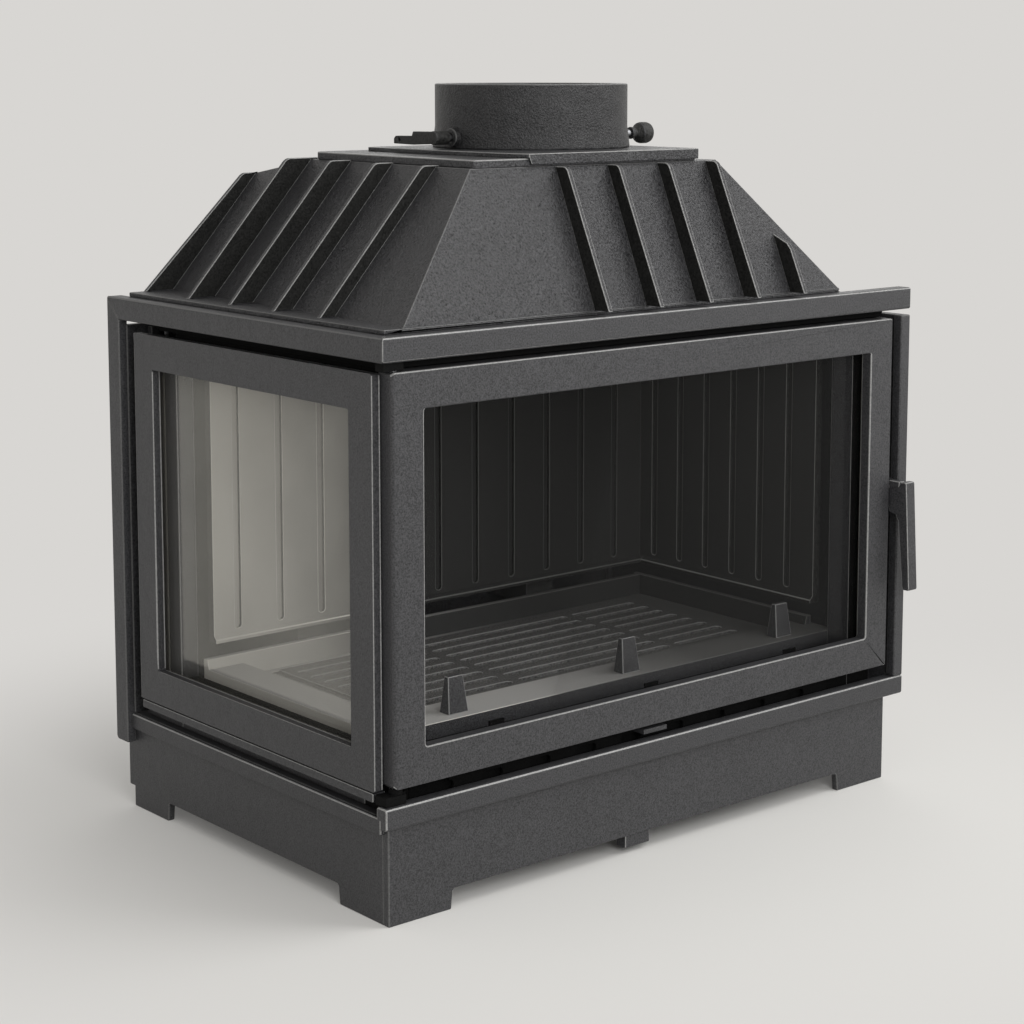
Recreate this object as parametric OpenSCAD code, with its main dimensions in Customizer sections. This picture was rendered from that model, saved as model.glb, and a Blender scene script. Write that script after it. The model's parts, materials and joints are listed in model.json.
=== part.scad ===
/* [Base] */
// Width of the base across the front
base_w = 682; // [600:1:760]
// Depth of the base from front to back
base_d = 460; // [430:1:520]
// Height of the base up to the floor of the body
base_h = 95; // [85:1:110]
// Thickness of the cast base plates
base_t = 8; // [6:0.5:9]
// Width of each foot along the front and the back
foot_w = 73; // [50:1:110]
// Width of each foot along the sides
foot_d = 77; // [50:1:110]
// Height of the gap between the feet
foot_h = 19.5; // [17:0.5:26]
// Slant of the inner edge of a foot
foot_slant = 4; // [1:0.5:10]
// Step under the back edge of the side plates
heel_step = 10; // [4:1:16]

/* [Surround] */
// How far the surround stands out past the base on the left
surround_left = 10.5; // [9:0.5:14]
// How far the surround stands out past the base in front
surround_front = 10; // [9:0.5:14]
// How far the surround stands out past the base on the right
surround_right = 19; // [18:0.5:22]
// How far the surround stands out past the base at the back
surround_back = 7; // [4:0.5:12]
// Height of the top bars of the surround
mantel_h = 23; // [18:0.5:30]
// Depth of the top bars of the surround
mantel_t = 18; // [16:0.5:18]
// Width of the right-hand front post
post_w = 14.5; // [12:0.5:14.5]
// Gap between the right-hand post and the bar above it
post_gap = 6.5; // [3:0.5:10]
// Height of the bar below the door
ledge_h = 21; // [16:0.5:22]
// Depth of the bar below the door
ledge_t = 15; // [12:0.5:17]
// Height of the bar below the side window
side_ledge_h = 16; // [10:0.5:20]
// How far the bar below the side window stands out
side_ledge_t = 5; // [3:0.5:8]

/* [Body] */
// Thickness of the cast body walls
wall = 8; // [6:0.5:9]
// Depth of the cast frame behind the door
front_frame_t = 30; // [26:1:32]
// Depth of the cast frame behind the side window
side_frame_t = 20; // [16:1:22]

/* [Door] */
// How much narrower the door is than the base
door_inset = 9; // [8:0.5:14]
// Height of the door frame
door_h = 382; // [340:1:430]
// Width of the door frame members
door_rim = 35; // [33:1:38]
// Thickness of the door frame
door_t = 22; // [20:0.5:23]
// Gap between the ledge and the door
door_lift = 15; // [14:0.5:18]
// Gap between the door and the top bars
door_top_gap = 9; // [7:0.5:16]
// Length of the door handle's grip
grip_len = 112; // [90:1:130]
// Opening angle of the door
door_open = 110; // [60:5:110]

/* [Side window] */
// How much shorter the side window is than the base is deep
window_inset = 51; // [48:0.5:60]
// How much taller the side window is than the door
window_extra = 2; // [0:0.5:4]
// Width of the side window frame members
window_rim = 35; // [32:1:37]
// Thickness of the side window frame
window_t = 9.4; // [8:0.1:10]
// Thickness of the ceramic glass
glass_t = 4; // [3.5:0.1:4.5]

/* [Hearth] */
// Height of the front sill above the floor
sill_z = 165; // [158:0.5:168]
// Height of the hearth floor above the floor
hearth_z = 153; // [150:0.5:155]
// Width of the hearth floor to the right of the grate
grate_right = 32.7; // [24:0.1:50]
// Width of the hearth floor behind the grate
grate_behind = 10.2; // [8:0.1:24]
// Distance between the grate slots
slot_pitch = 24; // [18:0.5:27]
// Width of a grate slot
slot_w = 9; // [6:0.5:12]
// Height of a log post
log_post_h = 36; // [25:1:45]
// Width of a log post at its foot
log_post_w = 24; // [16:1:30]
// Distance between the log posts
log_post_pitch = 227; // [160:1:240]

/* [Hood] */
// Height of the hood above its base flange
hood_h = 136.4; // [115:0.1:150]
// Thickness of the hood casting
hood_t = 6; // [5:0.5:8]
// Thickness of a cooling fin
fin_t = 5; // [4:0.5:7]
// How far the fins stand out at the bottom of the hood
fin_out = 15.5; // [10:0.5:18]
// Number of fins on the left slope
left_fins = 5; // [3:1:6]
// Number of fins on the front slope
front_fins = 5; // [3:1:5]
// Distance between the front fins
front_fin_pitch = 68; // [60:0.5:70]
// Thickness of the raised cap plate
cap_t = 8; // [6:0.5:12]
// Thickness of the flue flange
flange_t = 4.5; // [3.5:0.5:7]

/* [Flue] */
// Outer diameter of the flue collar
flue_d = 200; // [180:1:200]
// Wall of the flue collar
flue_wall = 6; // [4:0.5:8]
// Height of the flue collar above its flange
flue_h = 65.5; // [60:0.5:90]
// Diameter of the damper spindle
spindle_d = 8; // [7:0.1:9.5]

/* [Hidden] */
$fn = 48;
cast = [0.25, 0.25, 0.26];
dark = [0.17, 0.17, 0.18];
steel = [0.45, 0.45, 0.47];
// Gaps: between faces that meet, and round a turning pin
seat = 0.3;
pin_play = 0.08;
// Reach of the door handle in front of the base
handle_reach = 36;
// The middle of the whole outline stands over the origin
origin_x = (base_w + surround_right - surround_left) / 2;
origin_y = (base_d + surround_back - handle_reach) / 2;

// Door, with its left edge and hinge axis
ledge_top = base_h + ledge_h;
door_x = 2.7;
door_y = -8;
door_z = ledge_top + door_lift;
door_w = base_w - door_inset;
door_back = door_y + door_t;
door_right = door_x + door_w;
hinge_x = door_x + 7.3;
hinge_y = 2;
hinge_r = 4;
door_edge_r = 5;
seal_t = 3.2;
// Heights of the body
body_top = door_z + door_h + door_top_gap;
mantel_top = body_top + mantel_h;
floor_top = base_h + wall;
plate_under = body_top - wall;
front_face = door_back + seal_t + seat;
front_back = front_face + front_frame_t;
// Side window
window_x = -8;
window_y = 10;
window_z = door_z - 4;
window_w = base_d - window_inset;
window_h = door_h + window_extra;
window_back = window_x + window_t;
glass_seal_t = 2;
side_face = window_back + glass_t + 2 * glass_seal_t - 0.4;
side_back = side_face + side_frame_t;
// Inner faces of the chamber
jamb_in = door_x + door_w - door_rim;
body_right = base_w - 6;
body_back = base_d - 18;
back_in = body_back - wall;
rear_jamb_y = base_d - 95;
fire_y = base_d - 110;
liner_t = 10;
liner_x = jamb_in + 2;
liner_bottom = hearth_z + 37;
liner_top = body_top - 25;
post_left = side_back + 8;
rim_top = hearth_z + 22;
sill_front = front_back + seat;
sill_depth = 52;
sill_t = 9;
floor_y = sill_front + sill_depth;
floor_left = side_back + 43;
grate_x = floor_left + 26;
grate_y = floor_y + 8;
rim_in = 8;
grate_w = liner_x - rim_in - grate_right - grate_x;
grate_d = fire_y - rim_in - grate_behind - grate_y;
grate_t = 9;
grate_step = 6;
// Hood, worked out from its base and top outlines. Its plan follows the width of the base
plan = base_w / 682;
flange_rise = 4.6;
hood_z = mantel_top + flange_rise;
hood_top = hood_z + hood_h;
hood_left = 26;
hood_right = base_w - 79;
hood_front = 7.5;
hood_back = body_back + 1;
slope_left = 121 * plan;
slope_right = 126 * plan;
slope_front = 58.5;
left_turn = 3.5;
rear_fall = 18;
rear_fall_run = 98;
upstand = hood_front + 0.8;
left_fin_pitch = (hood_back - 94 - 121) / (left_fins - 2);
// Cap plate and flue flange
flue_r = flue_d / 2;
flue_edge = 4.5;
cap_x = hood_left + slope_left + 8;
cap_turn = 11;
cap_right = hood_right - slope_right - 27;
cap_y = hood_front + slope_front - 1;
flange_x = hood_left + slope_left + 65 * plan;
flange_right = cap_right - 1.5;
// Flue axis
flue_x = cap_right - flue_r - flue_edge;
flue_y = base_d * 0.446957;
cap_back = hood_back - rear_fall_run - 4;
flange_back = flue_y + flue_r + flue_edge;
cap_top = hood_top + cap_t;
flange_top = cap_top + flange_t;
damper_z = flange_top + 11.5;
boss_r = 9.6;
spindle_r = spindle_d / 2;
lever_x = flue_x - flue_r - 30;
// Right-hand post and handle
post_right = base_w + surround_right;
post_x = post_right - post_w;
handle_w = 14;
handle_x = door_right + 1.3;
handle_y = -2;
handle_z = door_z + door_h / 2 + 8;

module place() {
    translate([-origin_x, -origin_y, 0]) children();
}

// A block from its low corner to its high corner
module block(low, high) {
    translate(low) cube(high - low);
}

// An outline drawn as depth and height, pushed along X
module along_x(x, length) {
    translate([x, 0, 0]) rotate([90, 0, 90]) linear_extrude(length) children();
}

// An outline drawn as width and height, pushed along Y
module along_y(y, length) {
    translate([0, y + length, 0]) rotate([90, 0, 0]) linear_extrude(length) children();
}

module rod_x(x, y, z, r, length) {
    translate([x, y, z]) rotate([0, 90, 0]) cylinder(r = r, h = length);
}

module rod_y(x, y, z, r, length) {
    translate([x, y, z]) rotate([-90, 0, 0]) cylinder(r = r, h = length);
}

// A rectangle with round corners
module round_rect(x, y, w, h, r) {
    translate([x + r, y]) square([w - 2 * r, h]);
    translate([x, y + r]) square([w, h - 2 * r]);
    for (cx = [x + r, x + w - r], cy = [y + r, y + h - r])
        translate([cx, cy]) circle(r);
}

// A flat ring with round corners
module ring(x, y, w, h, rim, r_out, r_in) {
    difference() {
        round_rect(x, y, w, h, r_out);
        round_rect(x + rim, y + rim, w - 2 * rim, h - 2 * rim, r_in);
    }
}

// Skirt outline with a gap between its two feet
module skirt(length, foot, heel) {
    difference() {
        square([length, base_h]);
        polygon([
            [foot, -1], [foot + foot_slant / 2, foot_h - 2], [foot + foot_slant, foot_h],
            [length - foot - foot_slant, foot_h], [length - foot - foot_slant / 2, foot_h - 2],
            [length - foot, -1]
        ]);
        if (heel > 0) translate([length - heel, -1]) square([heel + 1, foot_h + 3]);
    }
}

module base_front_plate() color(cast) along_y(0, base_t) skirt(base_w, foot_w, 0);

module base_left_plate() color(cast) intersection() {
    along_x(0, base_t) skirt(base_d, foot_d, heel_step);
    block([-1, base_t, -1], [base_t + 1, base_d + 1, base_h + 1]);
}

module base_right_plate() translate([base_w - base_t, 0, 0]) base_left_plate();

module base_rear_plate() color(cast) intersection() {
    along_y(base_d - heel_step - base_t, base_t) skirt(base_w, foot_w, 0);
    block([base_t, 0, -1], [base_w - base_t, base_d, base_h + 1]);
}

// Floor of the body, with the mouth of the ash box and the holes of the tie rods
ash_x = grate_x + 40;
ash_y = grate_y + 14;
ash_w = grate_w - 80;
ash_d = grate_d - 28;
rod_r = 3.5;
rod_places = [
    [side_face + 20, front_face + 14.5], [liner_x + liner_t + 8, front_back + 10],
    [liner_x + liner_t + 8, back_in - 9], [side_back + 7, back_in - 9]
];

module bottom_plate() color(dark) difference() {
    block([0, 0, base_h], [base_w, base_d - heel_step, floor_top]);
    block([ash_x, ash_y, base_h - 1], [ash_x + ash_w, ash_y + ash_d, floor_top + 1]);
    for (p = rod_places) translate([p.x, p.y, base_h - 1]) cylinder(r = rod_r + 0.2, h = wall + 2);
}

// Front bar of the base, round along its front edges
module front_ledge_bar() color(cast)
    translate([1 - surround_left, 0, 0]) rotate([90, 0, 90])
        linear_extrude(base_w + surround_right + surround_left - 1)
            difference() {
                round_rect(-surround_front, base_h, ledge_t, ledge_h, 3);
                translate([0, base_h - 1]) square([ledge_t, wall + 1 + seat]);
            }

module side_ledge_bar() color(cast)
    block([-side_ledge_t, ledge_t - surround_front + seat, floor_top - side_ledge_h],
          [0, base_d - 16, floor_top]);

// Sheet box under the grate, with air slots in its floor and the shutter's two guides
sheet = 3;
shutter_t = 4;
box_bottom = foot_h - 0.2;
inlet_y = ash_y + 60;
inlet_w = 16;
inlet_pitch = 40;
shutter_x = base_w / 2 - 27;

module ash_box() color(dark) {
    difference() {
        union() {
            block([ash_x + seat, ash_y + seat, box_bottom],
                  [ash_x + ash_w - seat, ash_y + ash_d - seat, floor_top]);
            block([ash_x - 8, ash_y - 5, floor_top], [ash_x + ash_w + 8, ash_y + ash_d + 5, floor_top + 2]);
        }
        block([ash_x + sheet, ash_y + sheet, box_bottom + sheet],
              [ash_x + ash_w - sheet, ash_y + ash_d - sheet, floor_top + 3]);
        for (i = [0 : 1]) block([shutter_x - 50, inlet_y + i * inlet_pitch, box_bottom - 1],
                                [shutter_x + 50, inlet_y + inlet_w + i * inlet_pitch, box_bottom + sheet + 1]);
    }
    for (s = [-1, 1]) translate([shutter_x, 0, 0]) mirror([s < 0 ? 1 : 0, 0, 0]) {
        block([60.3, inlet_y - 30, box_bottom - shutter_t - 4.6], [66, inlet_y + 90, box_bottom]);
        block([52, inlet_y - 30, box_bottom - shutter_t - 4.6], [60.3, inlet_y + 90, box_bottom - shutter_t - 0.6]);
    }
}

// Tray with flared walls and a turned rim
pan_gap = 6;
pan_h = 62;

module ash_pan() color(steel) {
    x0 = ash_x + sheet + pan_gap;
    x1 = ash_x + ash_w - sheet - pan_gap;
    y0 = ash_y + sheet + pan_gap;
    y1 = ash_y + ash_d - sheet - pan_gap;
    z0 = box_bottom + sheet + seat;
    difference() {
        intersection() {
            along_y(y0, y1 - y0) polygon([[x0 + 10, z0], [x1 - 10, z0], [x1, z0 + pan_h], [x0, z0 + pan_h]]);
            along_x(x0, x1 - x0) polygon([[y0 + 10, z0], [y1 - 10, z0], [y1, z0 + pan_h], [y0, z0 + pan_h]]);
        }
        intersection() {
            along_y(y0, y1 - y0) polygon([
                [x0 + 12, z0 + 2], [x1 - 12, z0 + 2], [x1 - 2, z0 + pan_h + 1], [x0 + 2, z0 + pan_h + 1]
            ]);
            along_x(x0, x1 - x0) polygon([
                [y0 + 12, z0 + 2], [y1 - 12, z0 + 2], [y1 - 2, z0 + pan_h + 1], [y0 + 2, z0 + pan_h + 1]
            ]);
        }
    }
}

// Sliding plate under the ash box, with a strip and a grip that shows under the skirt
module ash_air_shutter() color(dark) {
    top = box_bottom - seat;
    difference() {
        block([shutter_x - 60, inlet_y - 18, top - shutter_t], [shutter_x + 60, inlet_y + 78, top]);
        for (i = [0 : 1]) block([shutter_x - 48, inlet_y + inlet_w + 4 + i * inlet_pitch, top - shutter_t - 1],
                                [shutter_x + 48, inlet_y + 2 * inlet_w + 2 + i * inlet_pitch, top + 1]);
    }
    block([shutter_x - 16.5, 6, top - shutter_t], [shutter_x + 16.5, inlet_y - 18, top]);
    along_x(shutter_x - 16.5, 33) round_rect(3, 6, 14, top - 6, 1.5);
}

// Cast hearth: sills in front and on the left, a sunk floor round the grate, raised rims behind and right
module hearth_plate() color(dark) difference() {
    union() {
        block([side_back + seat, sill_front, sill_z - sill_t], [liner_x + liner_t, floor_y, sill_z]);
        block([side_back + seat, sill_front, sill_z - 25], [liner_x + liner_t, sill_front + 8, sill_z]);
        block([side_back + seat, sill_front, sill_z - sill_t], [floor_left, fire_y, sill_z]);
        block([side_back + seat, sill_front, sill_z - 25], [side_back + 8, fire_y, sill_z]);
        block([floor_left - 4, floor_y - 4, hearth_z - 10], [liner_x + liner_t, fire_y + liner_t, hearth_z]);
        along_y(sill_front + 30, fire_y + liner_t - sill_front - 30) polygon([
            [liner_x - rim_in, hearth_z - 1], [liner_x - 2, rim_top], [liner_x + 5, rim_top], [liner_x + 5, hearth_z - 1]
        ]);
        along_x(side_back + seat, liner_x + 5 - side_back - seat) polygon([
            [fire_y - rim_in, hearth_z - 1], [fire_y - 2, rim_top], [fire_y + 5, rim_top], [fire_y + 5, hearth_z - 1]
        ]);
        for (x = [floor_left, liner_x - 20], y = [floor_y, fire_y - 20])
            block([x, y, floor_top], [x + 16, y + 16, hearth_z - 5]);
    }
    block([grate_x - seat, grate_y - seat, hearth_z - grate_step],
          [grate_x + grate_w + seat, grate_y + grate_d + seat, hearth_z + 1]);
    block([grate_x + 14, grate_y + 8, hearth_z - 12],
          [grate_x + grate_w - 14, grate_y + grate_d - 8, hearth_z + 1]);
}

// Grate of three slotted fields between cross bars, each slot with round ends
module slot(x0, x1, y) {
    translate([x0 + slot_w / 2, y - slot_w / 2]) square([x1 - x0 - slot_w, slot_w]);
    for (x = [x0 + slot_w / 2, x1 - slot_w / 2]) translate([x, y]) circle(slot_w / 2, $fn = 24);
}

module grate() color(dark) {
    edge = 15;
    bar = 12;
    fields = [edge, 0.333 * grate_w, 0.775 * grate_w, grate_w - edge];
    rows = floor((grate_d - 2 * edge) / slot_pitch);
    first = (grate_d - (rows - 1) * slot_pitch) / 2;
    translate([grate_x, grate_y, 0]) {
        difference() {
            translate([0, 0, hearth_z - grate_step]) linear_extrude(grate_t) difference() {
                square([grate_w, grate_d]);
                for (f = [0 : 2], i = [0 : rows - 1])
                    slot(fields[f] + (f > 0 ? bar / 2 : 0), fields[f + 1] - (f < 2 ? bar / 2 : 0),
                         first + i * slot_pitch);
            }
            translate([0, 0, hearth_z]) linear_extrude(grate_t) difference() {
                translate([-1, -1]) square([grate_w + 2, grate_d + 2]);
                translate([5, 5]) square([grate_w - 10, grate_d - 10]);
            }
        }
        translate([0, 0, hearth_z - grate_step - 8]) linear_extrude(8) {
            for (x = [fields[1], fields[2]]) translate([x - 4, 18]) square([8, grate_d - 36]);
            for (y = [16, grate_d - 24]) translate([24, y]) square([grate_w - 48, 8]);
        }
    }
}

// Three tapered posts that stop the logs at the sill
module log_posts() color(cast)
    for (i = [-1 : 1])
        translate([origin_x + 10.5 + i * log_post_pitch, sill_front + 17.5, sill_z]) intersection() {
            along_y(-8, 16) polygon([
                [-log_post_w / 2, 0], [log_post_w / 2, 0],
                [log_post_w / 2 - 3, log_post_h], [3 - log_post_w / 2, log_post_h]
            ]);
            along_x(-log_post_w / 2, log_post_w) polygon([[-7.5, 0], [7.5, 0], [3.5, log_post_h], [-2.5, log_post_h]]);
        }

// Rails and posts of the cast front and side frames
air_holes = 9;
air_pitch = 60 * plan;
slider_z0 = floor_top + 2.3;
slider_z1 = door_z - 4.5;

module front_bottom_rail() color(dark) difference() {
    union() {
        block([post_left + seat, front_face, floor_top], [jamb_in - seat, front_back, sill_z - 15]);
        block([post_left + 20, door_back - 3.5, floor_top], [jamb_in - 20, front_face, floor_top + 2]);
        block([post_left + 20, door_back - 3.5, floor_top], [jamb_in - 20, door_back - 1.8, floor_top + 6]);
    }
    for (i = [0 : air_holes - 1])
        translate([base_w / 2 + (i - (air_holes - 1) / 2) * air_pitch, 0, 0])
            along_y(front_face - 1, front_frame_t + 2) round_rect(-14, floor_top + 7, 28, 10, 4.5);
}

module front_top_rail() color(dark)
    block([post_left + seat, front_face, plate_under - 32], [jamb_in - seat, front_back, plate_under]);

module right_jamb() color(dark)
    block([jamb_in, front_face, floor_top], [body_right, front_back, plate_under]);

module corner_post() color(dark) difference() {
    translate([0, 0, floor_top]) linear_extrude(plate_under - floor_top) polygon([
        [side_face, front_face], [post_left, front_face], [post_left, front_back - 4],
        [post_left - 4, front_back], [side_face, front_back]
    ]);
    translate([rod_places[0].x, rod_places[0].y, floor_top - 1])
        cylinder(r = rod_r + 0.4, h = plate_under - floor_top + 2);
}

module side_bottom_rail() color(dark) {
    y0 = front_back + seat;
    block([side_face, y0, floor_top], [side_back, rear_jamb_y - seat, sill_z - 10]);
    difference() {
        along_x(window_x + 2, side_face - window_x - 2)
            round_rect(window_y + 5, window_z - 11, window_w - 5, 8.5, 1.5);
        block([side_face - 1, window_y, window_z - 12], [side_face + 1, y0, window_z]);
    }
}

module side_top_rail() color(dark)
    block([side_face, front_back + seat, plate_under - 34], [side_back, rear_jamb_y - seat, plate_under]);

module rear_jamb() color(dark)
    block([side_face, rear_jamb_y, floor_top], [side_back, back_in - seat, plate_under - 8]);

module right_wall() color(dark)
    block([body_right - wall, front_back + seat, floor_top], [body_right, back_in - seat, plate_under]);

// Back wall with two upright ribs
module back_wall() color(dark) {
    block([side_back - 6, back_in, floor_top], [body_right, body_back, plate_under]);
    for (x = [0.33, 0.67] * base_w) block([x, body_back, floor_top + 20], [x + 8, body_back + 7, plate_under - 20]);
}

// Upright grooves with round ends, as cast into the linings
module grooves(first, pitch, count, low, high) {
    for (i = [0 : count - 1]) {
        translate([first + i * pitch - 4, low]) square([8, high - low]);
        for (z = [low, high]) translate([first + i * pitch, z]) circle(4, $fn = 24);
    }
}

module fireback() color(dark) {
    x0 = side_back + 10;
    x1 = liner_x - seat;
    difference() {
        block([x0, fire_y, liner_bottom], [x1, fire_y + liner_t, liner_top]);
        along_y(fire_y - 1, 4.5) grooves(x0 + 30, (x1 - x0 - 73.4) / 10, 11, liner_bottom + 16, liner_top - 20);
    }
    along_x(x0, x1 - x0) polygon([
        [fire_y - 4, liner_bottom], [fire_y - 4, liner_bottom + 4], [fire_y, liner_bottom + 8], [fire_y, liner_bottom]
    ]);
}

module right_liner() color(dark) {
    y0 = front_back + 24;
    y1 = fire_y + liner_t;
    difference() {
        block([liner_x, y0, liner_bottom], [liner_x + liner_t, y1, liner_top]);
        along_x(liner_x - 1, 4.5) grooves(y0 + 40, 43, 6, liner_bottom + 16, liner_top - 20);
    }
    intersection() {
        along_y(y0, fire_y - seat - 4 - y0) polygon([
            [liner_x - 4, liner_bottom], [liner_x - 4, liner_bottom + 4],
            [liner_x, liner_bottom + 8], [liner_x, liner_bottom]
        ]);
        block([0, y0, 0], [base_w, y1, body_top]);
    }
    for (y = [y0 + 40, y1 - 40], z = [liner_bottom + 40, liner_top - 40])
        rod_x(liner_x + liner_t, y, z, 9, body_right - wall - liner_x - liner_t);
}

// Two hat-section uprights that hold the fireback off the back wall
module fireback_brackets() color(steel)
    for (x = [0.25, 0.72] * base_w)
        translate([x, 0, hearth_z + 10]) linear_extrude(liner_top - hearth_z - 30) difference() {
            translate([-20, fire_y + liner_t]) square([40, back_in - fire_y - liner_t]);
            translate([-16, fire_y + liner_t + 4]) square([32, back_in - fire_y - liner_t + 1]);
        }

// Smoke shelf, bent up along its front edge
baffle_front = front_back + 95;

module baffle() color(dark)
    along_x(side_back + 6, liner_x + liner_t - side_back - 6) polygon([
        [fire_y + liner_t, liner_top], [fire_y + liner_t, liner_top + 8],
        [baffle_front + 12, liner_top + 8], [baffle_front + 2, liner_top + 14], [baffle_front - 2, liner_top + 8],
        [baffle_front + 10, liner_top]
    ]);

module baffle_lugs() color(dark)
    for (y = [baffle_front + 30, fire_y - 60])
        along_y(y, 20) polygon([
            [side_back + seat, liner_top - 12], [side_back + seat, liner_top],
            [side_back + 22, liner_top], [side_back + 22, liner_top - 4]
        ]);

// Top of the body with a raised rim that carries the hood
module top_plate() color(dark) difference() {
    union() {
        block([mantel_t - surround_left + seat, upstand, plate_under], [body_right, body_back, body_top]);
        block([mantel_t - surround_left + seat, upstand, body_top], [hood_right + 6, body_back, mantel_top]);
    }
    block([hood_left + 20, front_back - 6, plate_under - 1], [hood_right - 30, back_in - 22, body_top + 1]);
    block([hood_left - 10, hood_front + 12, body_top], [hood_right - 6, back_in, mantel_top + 1]);
    block([0, rear_jamb_y + 30, plate_under - 1], [side_back - 6, base_d, body_top]);
    for (p = rod_places) translate([p.x, p.y, plate_under - 1]) cylinder(r = rod_r + 0.2, h = wall + 2);
}

// Top bars of the surround, mitred where they meet
module mantel_outline(inset) {
    x0 = inset - surround_left;
    y0 = inset - surround_front;
    square_x = base_w + surround_right;
    polygon([
        [x0, y0], [square_x, y0], [square_x, mantel_t - surround_front],
        [mantel_t - surround_left, mantel_t - surround_front]
    ]);
}

module mantel_front_bar() color(cast) intersection() {
    translate([0, 0, body_top]) linear_extrude(mantel_h) mantel_outline(0);
    translate([-surround_left - 1, 0, 0]) rotate([90, 0, 90])
        linear_extrude(base_w + surround_left + surround_right + 2)
            round_rect(-surround_front, body_top, mantel_t + 6, mantel_h, 2.5);
}

module mantel_left_bar() color(cast) {
    y1 = base_d + surround_back;
    intersection() {
        translate([0, 0, body_top]) linear_extrude(mantel_h) polygon([
            [-surround_left, -surround_front], [mantel_t - surround_left, mantel_t - surround_front],
            [mantel_t - surround_left, y1], [-surround_left, y1]
        ]);
        along_x(-surround_left - 1, mantel_t + 2) polygon([
            [-surround_front, body_top], [y1 - mantel_h, body_top], [y1, mantel_top], [-surround_front, mantel_top]
        ]);
        along_y(-surround_front - 1, base_d + 40) round_rect(-surround_left, body_top, mantel_t + 6, mantel_h, 2.5);
    }
}

// Post at the back left corner, mitred into the bar above, with a return that closes the gap behind the window
module left_rear_post() color(cast) {
    y1 = base_d + surround_back;
    block([-2, body_back, floor_top + seat],
          [side_back + 4, max(body_back + 5, y1 - mantel_h + 4), body_top - 5]);
    along_x(-surround_left, surround_left) polygon([
        [y1 - mantel_h, base_h - mantel_h], [y1 - 3, base_h - mantel_h], [y1, base_h - mantel_h + 3],
        [y1, mantel_top], [y1 - mantel_h, body_top]
    ]);
}

// Post at the front right, its returns running down behind the ledge bar
module right_front_post() color(cast) {
    block([post_x + 4, ledge_t - surround_front + seat, floor_top + seat], [post_right, front_face + 17, ledge_top]);
    block([body_right + seat, front_face + 12, floor_top + seat], [post_x + 5, front_face + 17, ledge_top]);
    translate([0, 0, ledge_top]) linear_extrude(body_top - post_gap - ledge_top) {
        difference() {
            round_rect(post_x, -surround_front, post_w, ledge_t, 2);
            translate([post_x - 1, -surround_front + ledge_t - 4]) square([post_w + 2, 5]);
        }
        translate([post_x + 4, 0]) square([post_w - 4, front_face + 17]);
        translate([body_right + seat, front_face + 12]) square([post_x + 5 - body_right, 5]);
    }
}

// Hood casting: hipped shell with base flange and fins
// Between the left and the right slope. The left one is turned a little in plan
module hood_sides(inset) intersection() {
    s = hood_h + 10;
    along_y(-30, base_d + 60) polygon([
        [-base_w, hood_z - 10], [hood_right - inset + slope_right * 10 / hood_h, hood_z - 10],
        [hood_right - inset - slope_right * s / hood_h, hood_top + 10], [-base_w, hood_top + 10]
    ]);
    translate([hood_left + inset, hood_front, hood_z]) rotate([0, 0, -left_turn])
        along_y(-60, base_d + 120) polygon([
            [-slope_left * 10 / hood_h, -10], [slope_left * s / hood_h, s], [base_w, s], [base_w, -10]
        ]);
}

module hood_profile(inset) {
    t = inset > 0 ? hood_t : 0;
    low = inset > 0 ? hood_z - 10 : hood_z - flange_rise / 2;
    polygon([
        [hood_front + inset + slope_front * (low - hood_z) / hood_h, low],
        [hood_front + inset + slope_front * (hood_h - t) / hood_h, hood_top - t],
        [hood_back - rear_fall_run - t / 2, hood_top - t],
        [hood_back - t, hood_top - rear_fall - t],
        [hood_back - t, low]
    ]);
}

module hood_outside() intersection() {
    hood_sides(0);
    along_x(0, base_w) hood_profile(0);
}

module hood() color(cast) {
    difference() {
        hood_outside();
        intersection() {
            hood_sides(hood_t * 1.35);
            along_x(0, base_w) hood_profile(hood_t * 1.1);
        }
        translate([flue_x, flue_y, hood_top - 20]) cylinder(r = flue_r - 4, h = 40);
    }
    difference() {
        block([mantel_t / 2 - 4.5, hood_front - 0.3, mantel_top], [hood_right + 1, hood_back + 3, hood_z]);
        intersection() {
            block([0, hood_front + 2, mantel_top - 1], [hood_right - 2, hood_back - hood_t, hood_z + 1]);
            hood_sides(2);
        }
    }
}

// Outline of a fin: up a slope of the given angle from its foot, round a bend, then level under the cap plate
module fin_outline(foot, angle, bend, top, reach) {
    rise = (top - bend - hood_z + bend * cos(angle)) / sin(angle);
    centre = [foot + rise * cos(angle) + bend * sin(angle), top - bend];
    polygon(concat(
        [[reach, hood_z], [foot, hood_z]],
        [for (a = [angle + 90 : -8 : 91]) centre + bend * [cos(a), sin(a)]],
        [[reach, top]]
    ));
}

// Fins are cast with the hood. The rearmost left fin is lower, as the hood falls away there
module hood_left_fins() color(cast) difference() {
    foot = hood_left + 5 - fin_out;
    union() {
        for (i = [1 : left_fins - 1])
            along_y(hood_back - 94 - (i - 1) * left_fin_pitch, fin_t)
                fin_outline(foot, 48.5, 11, hood_top + 1.5, cap_x + cap_turn + 10);
        along_y(hood_back - fin_t, fin_t)
            fin_outline(foot + 3.5, 44.2, 10, hood_top - rear_fall + 1, hood_left + 134);
    }
    hood_outside();
    translate([0, 0, hood_top]) linear_extrude(cap_t) cap_outline();
}

// A front fin near the hood's right corner is cut down to a slanted top
module fin_room(x) {
    polygon(x > hood_right - 110 * plan
        ? [[-60, 0], [-60, hood_z + 33], [hood_front - 3, hood_z + 42], [hood_front + 5, hood_z + 50.6],
           [hood_front + 27, hood_z + 60.2], [base_d, hood_z + 62], [base_d, 0]]
        : [[-60, 0], [-60, hood_top + 10], [base_d, hood_top + 10], [base_d, 0]]);
}

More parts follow.
